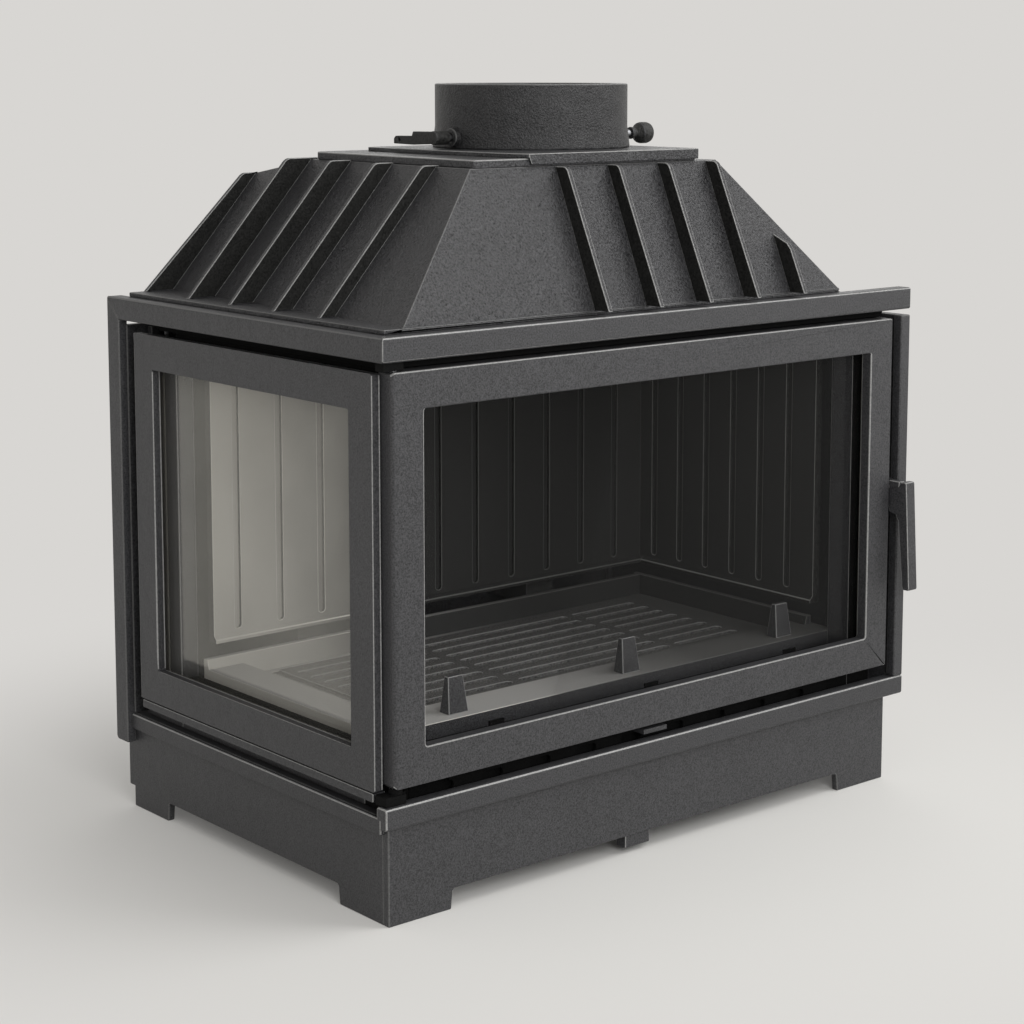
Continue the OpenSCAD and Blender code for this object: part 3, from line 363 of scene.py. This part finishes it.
def glass_material(name, colour, clear, reflection_veil=None, share=0.0):
    """Rolled ceramic glass: see-through, and brighter where it is seen at a shallow angle.
    With a veil, a painted reflection of the pale room makes it milky by the given share."""
    material, tree, shader, place = new_material(name)
    edge_on = add_node(tree, "ShaderNodeFresnel", {"IOR": 1.45}).outputs[0]
    cover = add_node(tree, "ShaderNodeMath", {
        0: edge_on, 1: EDGE_GLARE, 2: clear}, operation="MULTIPLY_ADD").outputs[0]
    tone = rgba(colour)
    if reflection_veil is not None:
        cloud = add_node(tree, "ShaderNodeTexNoise", {
            "Vector": place, "Scale": 1 / PAINTED_REFLECTION_CLOUD, "Detail": 2.0})
        amount = add_node(tree, "ShaderNodeMapRange", {
            "Value": cloud.outputs["Fac"], "From Min": NOISE_LOW, "From Max": NOISE_HIGH,
            "To Min": share * (1 - PAINTED_REFLECTION_SPREAD),
            "To Max": share * (1 + PAINTED_REFLECTION_SPREAD)}).outputs[0]
        # The painted reflection is thinner along the rear and lower edges of the glass
        rear, lower = PAINTED_REFLECTION_BORDER
        axes = add_node(tree, "ShaderNodeSeparateXYZ", {"Vector": place})
        before = add_node(tree, "ShaderNodeMath", {
            0: axes.outputs["Y"], 1: rear}, operation="LESS_THAN")
        above = add_node(tree, "ShaderNodeMath", {
            0: axes.outputs["Z"], 1: lower}, operation="GREATER_THAN")
        inside = add_node(tree, "ShaderNodeMath", {
            0: before.outputs[0], 1: above.outputs[0]}, operation="MULTIPLY")
        thick = add_node(tree, "ShaderNodeMath", {
            0: inside.outputs[0], 1: 1 - PAINTED_REFLECTION_OUTSIDE, 2: PAINTED_REFLECTION_OUTSIDE},
            operation="MULTIPLY_ADD")
        amount = add_node(tree, "ShaderNodeMath", {
            0: amount, 1: thick.outputs[0]}, operation="MULTIPLY").outputs[0]
        cover = add_node(tree, "ShaderNodeMath", {
            0: cover, 1: amount}, operation="MAXIMUM").outputs[0]
        strength = add_node(tree, "ShaderNodeMapRange", {
            "Value": amount, "From Min": share * 0.1, "From Max": share}).outputs[0]
        tone = add_node(tree, "ShaderNodeMix", {
            "Factor": strength, "A": tone, "B": rgba(reflection_veil)}, data_type="RGBA").outputs["Result"]
    fill_inputs(tree, shader, {
        "Base Color": tone, "Alpha": cover, "Roughness": 0.05, "IOR": 1.5})
    return material


def finish_set():
    """The finishes, made once from the colours and sizes of the sidebar."""
    if "Painted cast iron" in bpy.data.materials:
        return bpy.data.materials
    tint = bpy.context.scene.fireplace_colours
    size = bpy.context.scene.fireplace_sizes
    paint, sand = size.paint_grain, size.sand_grain
    # Satin heat-proof paint sprayed over grey iron: an even dark grey with an orange-peel grain
    painted = {"colour": tint.paint, "grain": paint, "relief": 0.3 * MM, "rough": 0.47}
    cast_material("Painted cast iron", **painted)
    # The same paint rubbed thin on corners: smoother, and lighter as a painted highlight
    cast_material("Worn painted corner with painted highlight", tint.worn_highlight, paint,
                  relief=0.1 * MM, rough=0.33, spread=0.06)
    # Paint that is hardly touched, as on the plinth, the posts and the hood: a little lighter, a
    # weak painted highlight
    cast_material("Faintly rubbed corner with weak painted highlight", tint.faint, paint,
                  relief=0.1 * MM, rough=0.4, spread=0.06)
    # The paint of the mitred frames, with the dark hairlines where their bars meet
    cast_material("Painted door casting", seams=DOOR_CORNERS, **painted)
    cast_material("Painted window casting", seams=WINDOW_CORNERS, **painted)
    # Sand-cast and only thinly painted: a leathery surface with more depth
    cast_material("Rough painted casting", tint.hood, sand,
                  relief=1.5 * MM, rough=0.43, spread=0.17, swells=1.5)
    # The flue collar has a second coat: darker, with the same sand grain
    cast_material("Twice painted collar", shaded(tint.hood, 0.5), sand,
                  relief=1.5 * MM, rough=0.43, swells=1.5)
    # Sand-cast corners rubbed to the metal, lighter as a painted highlight, and still a little
    # rough
    cast_material("Worn rough corner with painted highlight", tint.worn_highlight, sand,
                  relief=0.2 * MM, rough=0.38, spread=0.06)
    # The sides of the fins: dark and matt, a painted shade
    cast_material("Fin flank in painted shade", tint.flank, sand,
                  relief=0.5 * MM, rough=0.6, shine=0.25)
    # Near-black painted shade on what is seen deep in the gaps of the body
    cast_material("Near-black painted shade in the gaps", tint.gap, 1.6 * MM,
                  relief=0.12 * MM, rough=0.8, shine=0.12)
    # Iron in the fire: soot on one side, pale ash and painted window light on the other, with
    # painted highlights on the corners
    lining_material("Sooted lining with painted window light", tint.chamber, tint.ash,
                    west=-330 * MM, east=-60 * MM, relief=0.15 * MM, rough=0.7)
    # Lighter lining corners as a painted highlight
    corner_highlight = {"ash": shaded(tint.ash, 1.25), "west": -150 * MM, "east": -60 * MM,
               "relief": 0.1 * MM, "rough": 0.5}
    lining_material("Lining corner with painted highlight", shaded(tint.chamber, 8), **corner_highlight)
    # The right-hand liner's corners get the brightest painted highlight
    lining_material("Liner corner with bright painted highlight", shaded(tint.chamber, 18), **corner_highlight)
    # Iron of the hearth under fine ash: pale by the side window and darker to the right, the pale
    # side partly painted window light
    lining_material("Dusted hearth with painted window light", shaded(tint.dust, 0.55), shaded(tint.dust, 2.4),
                    west=-130 * MM, east=130 * MM, relief=0.25 * MM, rough=0.75)
    # Iron of the grate under fine ash: grey and fully matt
    cast_material("Ash-dusted iron", shaded(tint.dust, 0.6), 2.0 * MM,
                  relief=0.3 * MM, rough=0.8, spread=0.2)
    # Iron that smoke has darkened all over: a dry black with a coarse grain, also used as painted
    # shade in the lining's grooves
    cast_material("Smoke-dark iron and painted groove shade", tint.chamber, 2.2 * MM,
                  relief=0.4 * MM, rough=0.62, spread=0.2)
    # Rolled steel sheet, folded and painted: smoother than a casting
    cast_material("Painted sheet steel", tint.sheet, 0.9 * MM, relief=0.05 * MM, rough=0.45)
    steel_material("Turned steel", tint.steel, rough=0.3)
    rope_material("Glass-fibre rope", tint.rope)
    glass_material("Clear ceramic glass", tint.glass, clear=0.02)
    # The side glass gets a milky veil as a painted reflection of the pale room
    glass_material("Ceramic glass with painted reflection", tint.glass, clear=0.02, reflection_veil=tint.reflection_veil, share=0.1)
    return bpy.data.materials


def only(thing):
    """Selects one object and makes it the active one."""
    bpy.ops.object.select_all(action="DESELECT")
    thing.select_set(True)
    bpy.context.view_layer.objects.active = thing


def apply_modifier(thing, kind, **settings):
    """Adds a modifier with its settings and applies it."""
    only(thing)
    modifier = thing.modifiers.new(kind.title(), kind)
    for name, value in settings.items():
        setattr(modifier, name, value)
    bpy.ops.object.modifier_apply(modifier=modifier.name)


def merged_copy(node, name):
    """A copy of a CAD node's mesh with its loose triangles joined into whole faces."""
    only(frame["nodes"][node])
    bpy.ops.object.duplicate()
    piece = bpy.context.view_layer.objects.active
    piece.name = name
    piece.data.name = name
    piece.parent = None
    # The copy is a piece of its own and no longer a node of the CAD
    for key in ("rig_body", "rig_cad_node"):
        if key in piece:
            del piece[key]
    piece.matrix_world = Matrix.Identity(4)
    if piece.data.has_custom_normals:
        bpy.ops.mesh.customdata_custom_splitnormals_clear()
    bpy.ops.object.mode_set(mode="EDIT")
    bpy.ops.mesh.select_all(action="SELECT")
    bpy.ops.mesh.remove_doubles(threshold=MERGE_DISTANCE)
    bpy.ops.mesh.dissolve_limited(angle_limit=FLAT_ANGLE)
    bpy.ops.object.mode_set(mode="OBJECT")
    return piece


def weight_edges(piece, shortest):
    """Marks the corners to be rounded: the sharp outward edges that are at least so long."""
    mesh = bmesh.new()
    mesh.from_mesh(piece.data)
    weight = mesh.edges.layers.float.new("bevel_weight_edge")
    for edge in mesh.edges:
        outward = edge.is_manifold and edge.is_convex
        if outward and edge.calc_face_angle() > SHARP_ANGLE and edge.calc_length() >= shortest:
            edge[weight] = 1.0
    mesh.to_mesh(piece.data)
    mesh.free()


def coat_faces(piece, number, chosen):
    """Gives one finish of a piece to the faces that the rule chooses."""
    for face in piece.data.polygons:
        if chosen(face):
            face.material_index = number


def rounded_copy(node, name, materials, radius, shortest):
    """A merged copy of a CAD node with its sharp corners rounded over, as a casting's are."""
    piece = merged_copy(node, name)
    piece.data.materials.clear()
    for material in materials:
        piece.data.materials.append(material)
    coat_faces(piece, 0, lambda face: True)
    if radius:
        weight_edges(piece, shortest)
        apply_modifier(
            piece, "BEVEL", width=radius, segments=2, limit_method="WEIGHT",
            use_clamp_overlap=False, material=len(materials) - 1, miter_outer="MITER_ARC")
        # Corners that look down get no painted highlight and keep the plain paint
        coat_faces(piece, 0, lambda face: face.normal.z < LOOKS_DOWN)
    only(piece)
    bpy.ops.object.shade_smooth_by_angle(angle=SMOOTH_ANGLE)
    apply_modifier(piece, "WEIGHTED_NORMAL", keep_sharp=True)
    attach(piece, frame["nodes"][node]["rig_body"])
    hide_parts(node)


def coat_gap_shade(name, chosen):
    """Gives some faces of a piece the near-black painted shade of the gaps, which is its third
    finish.
    """
    piece = bpy.data.objects[name]
    piece.data.materials.append(bpy.data.materials["Near-black painted shade in the gaps"])
    coat_faces(piece, 2, chosen)


def highlight_rounds(name):
    """Paints a highlight on the upper corners that the CAD rounds, where they lean between side
    and top.
    """
    coat_faces(bpy.data.objects[name], 1, lambda face: (
        LEANS_LEAST < face.normal.z < LEANS_MOST))


class Maker:
    """What the operators share that make pieces."""
    bl_options = {"REGISTER", "UNDO"}
    # (CAD node, piece name, slot, finishes, rounding, which edges)
    # The rounded corners get the last of the finishes
    parts = ()

    def execute(self, context):
        finish = finish_set()
        sizes = context.scene.fireplace_sizes
        radius = {"corner": sizes.corner_round, "small": sizes.small_round, "none": 0}
        shortest = {"all": 0, "long": LONG_EDGE}
        for node, name, slot, names, rounding, edges in self.parts:
            rounded_copy(node, name, [finish[n] for n in names], radius[rounding],
                         shortest[edges])
        self.coat()
        return {"FINISHED"}

    def coat(self):
        """Gives single faces their own finish, where a piece has any."""


# The finishes of a piece: its surface, then those of single faces, then its rounded corners
PAINTED = ("Painted cast iron", "Worn painted corner with painted highlight")
PLAIN = ("Painted cast iron", "Faintly rubbed corner with weak painted highlight")
WINDOW = ("Painted window casting", "Worn painted corner with painted highlight")
DOOR = ("Painted door casting", "Worn painted corner with painted highlight")
ROUGH = ("Rough painted casting", "Faintly rubbed corner with weak painted highlight")
CAP = ("Rough painted casting", "Worn rough corner with painted highlight")
COLLAR = ("Twice painted collar", "Faintly rubbed corner with weak painted highlight")
FINS = ("Rough painted casting", "Fin flank in painted shade", "Worn rough corner with painted highlight")
# Near-black painted shade for the parts seen in the gaps
GAP = ("Near-black painted shade in the gaps",)
LINING = ("Sooted lining with painted window light", "Lining corner with painted highlight")
RIBBED = ("Sooted lining with painted window light", "Smoke-dark iron and painted groove shade", "Lining corner with painted highlight")
LINER = ("Sooted lining with painted window light", "Smoke-dark iron and painted groove shade", "Liner corner with bright painted highlight")
SMOKED = ("Smoke-dark iron and painted groove shade", "Painted cast iron")
DUSTED = ("Ash-dusted iron", "Worn painted corner with painted highlight")
HEARTH = ("Sooted lining with painted window light", "Dusted hearth with painted window light", "Painted cast iron", "Lining corner with painted highlight")
SLIDER = ("Near-black painted shade in the gaps", "Painted cast iron")
SHEET = ("Painted sheet steel", "Worn painted corner with painted highlight")
STEEL = ("Turned steel",)
ROPE = ("Glass-fibre rope",)
PANE = ("Clear ceramic glass",)
PAINTED_REFLECTION_PANE = ("Ceramic glass with painted reflection",)


class FIREPLACE_OT_base(Maker, bpy.types.Operator):
    """Rounds the plinth plates, the ledge bars and the ash box below the floor"""
    bl_idname = "fireplace.base"
    bl_label = "Plinth and ash box"
    parts = (
        ("base_front_plate", "plinth_front", "painted_cast", PLAIN, "corner", "all"),
        ("base_left_plate", "plinth_left", "painted_cast", PLAIN, "corner", "all"),
        ("base_right_plate", "plinth_right", "painted_cast", PLAIN, "corner", "all"),
        ("base_rear_plate", "plinth_rear", "painted_cast", PLAIN, "corner", "all"),
        ("bottom_plate", "floor_plate", "painted_cast", PLAIN, "small", "all"),
        ("front_ledge_bar", "ledge_front", "painted_cast", PAINTED, "corner", "all"),
        ("side_ledge_bar", "ledge_side", "painted_cast", PAINTED, "corner", "all"),
        ("ash_box", "ash_box_shell", "sheet_steel", SHEET, "none", "all"),
        ("ash_pan", "ash_drawer", "sheet_steel", SHEET, "small", "all"),
        ("ash_air_shutter", "ash_air_tab", "painted_cast", PAINTED, "small", "all"),
    )

    def coat(self):
        # Painted highlight on the upper rounded corners
        highlight_rounds("ledge_front")


class FIREPLACE_OT_body(Maker, bpy.types.Operator):
    """Rounds the rails, jambs, posts, walls and top bars that make the body"""
    bl_idname = "fireplace.body"
    bl_label = "Body walls and rails"
    parts = (
        ("front_bottom_rail", "rail_front_low", "dark_cast", GAP, "small", "all"),
        ("front_top_rail", "rail_front_high", "dark_cast", GAP, "small", "all"),
        ("right_jamb", "jamb_right", "dark_cast", PAINTED, "small", "all"),
        ("corner_post", "post_corner", "dark_cast", GAP, "small", "all"),
        ("side_bottom_rail", "rail_side_low", "dark_cast", PAINTED, "small", "all"),
        ("side_top_rail", "rail_side_high", "dark_cast", GAP, "small", "all"),
        ("rear_jamb", "jamb_rear", "dark_cast", PAINTED, "small", "all"),
        ("right_wall", "wall_right", "painted_cast", PLAIN, "corner", "all"),
        ("back_wall", "wall_back", "painted_cast", PLAIN, "corner", "all"),
        ("top_plate", "roof_plate", "painted_cast", GAP, "small", "all"),
        ("left_rear_post", "post_rear_left", "painted_cast", PLAIN, "corner", "all"),
        ("right_front_post", "post_front_right", "painted_cast", PLAIN, "corner", "all"),
        ("mantel_front_bar", "mantel_front", "painted_cast", PAINTED, "corner", "all"),
        ("mantel_left_bar", "mantel_left", "painted_cast", PLAIN, "corner", "long"),
    )

    def coat(self):
        lip_back = -333 * MM
        # What lies behind the lip of the side rail gets near-black painted shade
        coat_gap_shade("rail_side_low", lambda face: face.center.x > lip_back)
        # So does the face of the right jamb behind the closed door
        coat_gap_shade("jamb_right", lambda face: face.normal.y < -NEARLY_SQUARE)
        # Painted highlight on the upper rounded corners
        highlight_rounds("mantel_front")
        highlight_rounds("mantel_left")


class FIREPLACE_OT_chamber(Maker, bpy.types.Operator):
    """Gives the hearth, grate, fireback and baffle their smoked and dusted finish and painted
    light and shade
    """
    bl_idname = "fireplace.chamber"
    bl_label = "Fire chamber"
    parts = (
        ("hearth_plate", "hearth", "dark_cast", HEARTH, "small", "all"),
        ("grate", "fire_grate", "dark_cast", DUSTED, "small", "all"),
        ("log_posts", "log_stops", "dark_cast", PAINTED, "small", "all"),
        ("fireback", "fireback_ribs", "dark_cast", RIBBED, "small", "all"),
        ("right_liner", "liner_right", "dark_cast", LINER, "small", "all"),
        ("fireback_brackets", "fireback_hooks", "dark_cast", SMOKED, "small", "all"),
        ("baffle", "smoke_baffle", "dark_cast", LINING, "small", "all"),
        ("baffle_lugs", "baffle_rests", "dark_cast", LINING, "small", "all"),
    )

    def coat(self):
        sill_back = -120 * MM
        groove_area = 6e-3
        hearth = bpy.data.objects["hearth"]
        # Ash lies on what looks up; the front of the sill keeps the darker paint as painted shade
        coat_faces(hearth, 1, lambda face: face.normal.z > LOOKS_UP)
        coat_faces(hearth, 2, lambda face: (
            face.normal.y < -SQUARE_ON and face.center.y < sill_back))
        # The narrow grooves get near-black painted shade, which reads as dark lines beside their
        # painted highlights
        for name, axis in (("fireback_ribs", 0), ("liner_right", 1)):
            coat_faces(bpy.data.objects[name], 1, lambda face: (
                abs(face.normal[axis]) > LOOKS_ACROSS and face.area < groove_area))


class FIREPLACE_OT_hood(Maker, bpy.types.Operator):
    """Rounds the hipped hood, its fins, the cap, the flange and the flue collar"""
    bl_idname = "fireplace.hood"
    bl_label = "Hood and flue collar"
    parts = (
        ("hood", "hood_shell", "painted_cast", ROUGH, "small", "long"),
        ("hood_left_fins", "fins_left", "painted_cast", FINS, "small", "all"),
        ("hood_front_fins", "fins_front", "painted_cast", FINS, "small", "all"),
        ("cap_plate", "cap", "painted_cast", CAP, "corner", "all"),
        ("flue_flange", "flange", "painted_cast", CAP, "small", "all"),
        ("flue_collar", "collar", "painted_cast", COLLAR, "corner", "all"),
    )

    def coat(self):
        # The flat sides of the fins get the painted shade
        for name, axis in (("fins_left", 1), ("fins_front", 0)):
            coat_faces(bpy.data.objects[name], 1, lambda face: (
                abs(face.normal[axis]) > SQUARE_ON))


class FIREPLACE_OT_damper(Maker, bpy.types.Operator):
    """Finishes the damper disc, its spindle, lever and knob"""
    bl_idname = "fireplace.damper"
    bl_label = "Flue damper"
    parts = (
        ("damper_disc", "damper_plate", "dark_cast", SMOKED, "small", "all"),
        ("damper_spindle", "damper_rod", "bright_steel", STEEL, "none", "all"),
        ("damper_lever", "damper_handle", "dark_cast", SMOKED, "small", "all"),
        ("damper_knob", "damper_grip", "dark_cast", SMOKED, "small", "all"),
    )


class FIREPLACE_OT_window(Maker, bpy.types.Operator):
    """Finishes the fixed side window"""
    bl_idname = "fireplace.window"
    bl_label = "Side window"
    parts = (
        ("side_window_frame", "window_frame", "painted_cast", WINDOW, "corner", "long"),
        ("side_glass_seal", "window_tape", "fibre_seal", ROPE, "none", "all"),
        ("side_glass", "window_glass", "ceramic_glass", PAINTED_REFLECTION_PANE, "none", "all"),
    )


class FIREPLACE_OT_door(Maker, bpy.types.Operator):
    """Finishes the glazed door, its glass, seals, clips and screws"""
    bl_idname = "fireplace.door"
    bl_label = "Glazed door"
    parts = (
        ("door_frame", "door_casting", "painted_cast", DOOR, "corner", "all"),
        ("door_glass", "door_pane", "ceramic_glass", PANE, "none", "all"),
        ("door_glass_seal", "door_tape", "fibre_seal", ROPE, "none", "all"),
        ("door_rope_seal", "door_rope", "fibre_seal", ROPE, "small", "all"),
        ("door_glass_clips", "pane_clips", "sheet_steel", GAP, "none", "all"),
        ("door_clip_screws", "clip_screws", "bright_steel", STEEL, "none", "all"),
    )


class FIREPLACE_OT_fittings(Maker, bpy.types.Operator):
    """Finishes the handle, the hinges, the keeper, the tie rods and the air slider"""
    bl_idname = "fireplace.fittings"
    bl_label = "Handle, hinges and controls"
    parts = (
        ("handle_pin", "handle_pivot", "bright_steel", STEEL, "none", "all"),
        ("handle", "door_handle", "dark_cast", PAINTED, "small", "all"),
        ("latch_keeper", "keeper", "dark_cast", PAINTED, "small", "all"),
        ("hinge_brackets", "hinge_blocks", "dark_cast", GAP, "small", "all"),
        ("hinge_pins", "hinge_rods", "bright_steel", STEEL, "none", "all"),
        ("tie_rods", "tie_bolts", "bright_steel", STEEL, "none", "all"),
        ("air_slider", "air_tab", "dark_cast", SLIDER, "small", "all"),
    )

    def coat(self):
        # Only the tab in front of the slotted strip is painted; the strip gets near-black painted
        # shade
        strip_front = -204 * MM
        tab = bpy.data.objects["air_tab"]
        coat_faces(tab, 1, lambda face: face.center.y < strip_front)
        coat_faces(tab, 0, lambda face: face.center.y > strip_front)


def backdrop_world(colour):
    """An even pale room: it lights at its own level and shows as the backdrop."""
    world = bpy.data.worlds.new("Pale room")
    bpy.context.scene.world = world
    world.use_nodes = True
    tree = world.node_tree
    tree.nodes.clear()
    path = add_node(tree, "ShaderNodeLightPath")
    seen = path.outputs["Is Camera Ray"]
    for other in ("Is Glossy Ray", "Is Transmission Ray"):
        seen = add_node(tree, "ShaderNodeMath", {
            0: seen, 1: path.outputs[other]}, operation="MAXIMUM").outputs[0]
    lit = add_node(tree, "ShaderNodeBackground", {"Color": ROOM_LIGHT, "Strength": ROOM_LEVEL})
    shown = add_node(tree, "ShaderNodeBackground", {"Color": rgba(colour), "Strength": 1.0})
    mix = add_node(tree, "ShaderNodeMixShader", {
        "Fac": seen, 1: lit.outputs[0], 2: shown.outputs[0]})
    add_node(tree, "ShaderNodeOutputWorld", {"Surface": mix.outputs[0]})


def paper_floor(colour, far_colour):
    """Matt uncoated paper: an even pale floor with a faint fibre. Away from the insert it turns
    into the backdrop, so no horizon shows; its glow also paints light into the insert's shadow."""
    bpy.ops.object.select_all(action="DESELECT")
    bpy.ops.mesh.primitive_circle_add(vertices=96, radius=FLOOR_RADIUS, fill_type="NGON")
    floor = bpy.context.view_layer.objects.active
    floor.name = floor.data.name = "paper_floor"
    material, tree, shader, place = new_material("Seamless paper")
    fibre = add_node(tree, "ShaderNodeTexNoise", {"Vector": place, "Scale": FIBRES_PER_METRE})
    shade = add_node(tree, "ShaderNodeMix", {
        "Factor": fibre.outputs["Fac"], "A": rgba(colour, 0.985), "B": rgba(colour, 1.015)},
        data_type="RGBA")
    fill_inputs(tree, shader, {
        "Base Color": shade.outputs["Result"], "Roughness": 0.9, "Specular IOR Level": 0.1})
    away = add_node(tree, "ShaderNodeVectorMath", {0: place}, operation="LENGTH")
    fade = add_node(tree, "ShaderNodeMapRange", {
        "Value": away.outputs["Value"], "From Min": FADE_START, "From Max": FADE_END},
        interpolation_type="SMOOTHSTEP")
    glow = add_node(tree, "ShaderNodeEmission", {"Color": rgba(far_colour)})
    mix = add_node(tree, "ShaderNodeMixShader", {
        "Fac": fade.outputs["Result"], 1: shader.outputs["BSDF"], 2: glow.outputs[0]})
    output = next(node for node in tree.nodes if node.type == "OUTPUT_MATERIAL")
    fill_inputs(tree, output, {"Surface": mix.outputs[0]})
    floor.data.materials.append(material)


def area_lamp(name, place, target, size, power):
    """A square soft box that points at a target."""
    light = bpy.data.lights.new(name, "AREA")
    light.shape = "SQUARE"
    light.size = size
    light.energy = power
    lamp = bpy.data.objects.new(name, light)
    bpy.context.scene.collection.objects.link(lamp)
    lamp.location = place
    aim = Vector(target) - Vector(place)
    lamp.rotation_euler = aim.to_track_quat("-Z", "Y").to_euler()


def photo_camera():
    """The camera at the photo's place, turned by its yaw and tilted down by its pitch."""
    lens = bpy.data.cameras.new("Camera")
    lens.sensor_width = SENSOR_WIDTH
    lens.lens = FOCAL_LENGTH
    lens.shift_y = CAMERA_SHIFT
    camera = bpy.data.objects.new("Camera", lens)
    bpy.context.scene.collection.objects.link(camera)
    level = math.cos(CAMERA_PITCH)
    ahead = Vector((
        math.sin(CAMERA_YAW) * level, math.cos(CAMERA_YAW) * level, -math.sin(CAMERA_PITCH)))
    right = Vector((math.cos(CAMERA_YAW), -math.sin(CAMERA_YAW), 0))
    turn = Matrix((right, right.cross(ahead), -ahead)).transposed().to_4x4()
    camera.matrix_world = Matrix.Translation(CAMERA_PLACE) @ turn
    bpy.context.scene.camera = camera


class FIREPLACE_OT_stage(bpy.types.Operator):
    """Makes the pale floor, the soft boxes and the camera"""
    bl_idname = "fireplace.stage"
    bl_label = "Floor, light and camera"
    bl_options = {"REGISTER", "UNDO"}

    def execute(self, context):
        tint = context.scene.fireplace_colours
        backdrop_world(tint.backdrop)
        paper_floor(tint.paper, tint.backdrop)
        for lamp in LAMPS:
            area_lamp(*lamp)
        photo_camera()
        context.scene.view_settings.view_transform = "Standard"
        return {"FINISHED"}


class FIREPLACE_PT_panel(bpy.types.Panel):
    """Lists the sizes, the colours and the pieces"""
    bl_idname = "FIREPLACE_PT_panel"
    bl_label = "Corner fireplace insert"
    bl_space_type = "VIEW_3D"
    bl_region_type = "UI"
    bl_category = "Fireplace"

    def draw(self, context):
        for group in (context.scene.fireplace_sizes, context.scene.fireplace_colours):
            box = self.layout.box()
            for name in group.bl_rna.properties.keys():
                if name not in ("rna_type", "name"):
                    box.prop(group, name)
        for maker in OPERATORS:
            self.layout.operator(maker.bl_idname)


OPERATORS = (
    FIREPLACE_OT_base, FIREPLACE_OT_body, FIREPLACE_OT_chamber, FIREPLACE_OT_hood,
    FIREPLACE_OT_damper, FIREPLACE_OT_window, FIREPLACE_OT_door, FIREPLACE_OT_fittings,
    FIREPLACE_OT_stage,
)
CLASSES = (FireplaceSizes, FireplaceColours) + OPERATORS + (FIREPLACE_PT_panel,)


def register():
    """Registers the classes and hangs the two groups of settings on the scene."""
    for kind in CLASSES:
        bpy.utils.register_class(kind)
    bpy.types.Scene.fireplace_sizes = PointerProperty(type=FireplaceSizes)
    bpy.types.Scene.fireplace_colours = PointerProperty(type=FireplaceColours)


def unregister():
    """Takes back what register did."""
    del bpy.types.Scene.fireplace_colours
    del bpy.types.Scene.fireplace_sizes
    for kind in reversed(CLASSES):
        bpy.utils.unregister_class(kind)


def main():
    register()
    for maker in OPERATORS:
        group, name = maker.bl_idname.split(".")
        getattr(getattr(bpy.ops, group), name)()


if __name__ == "__main__":
    main()
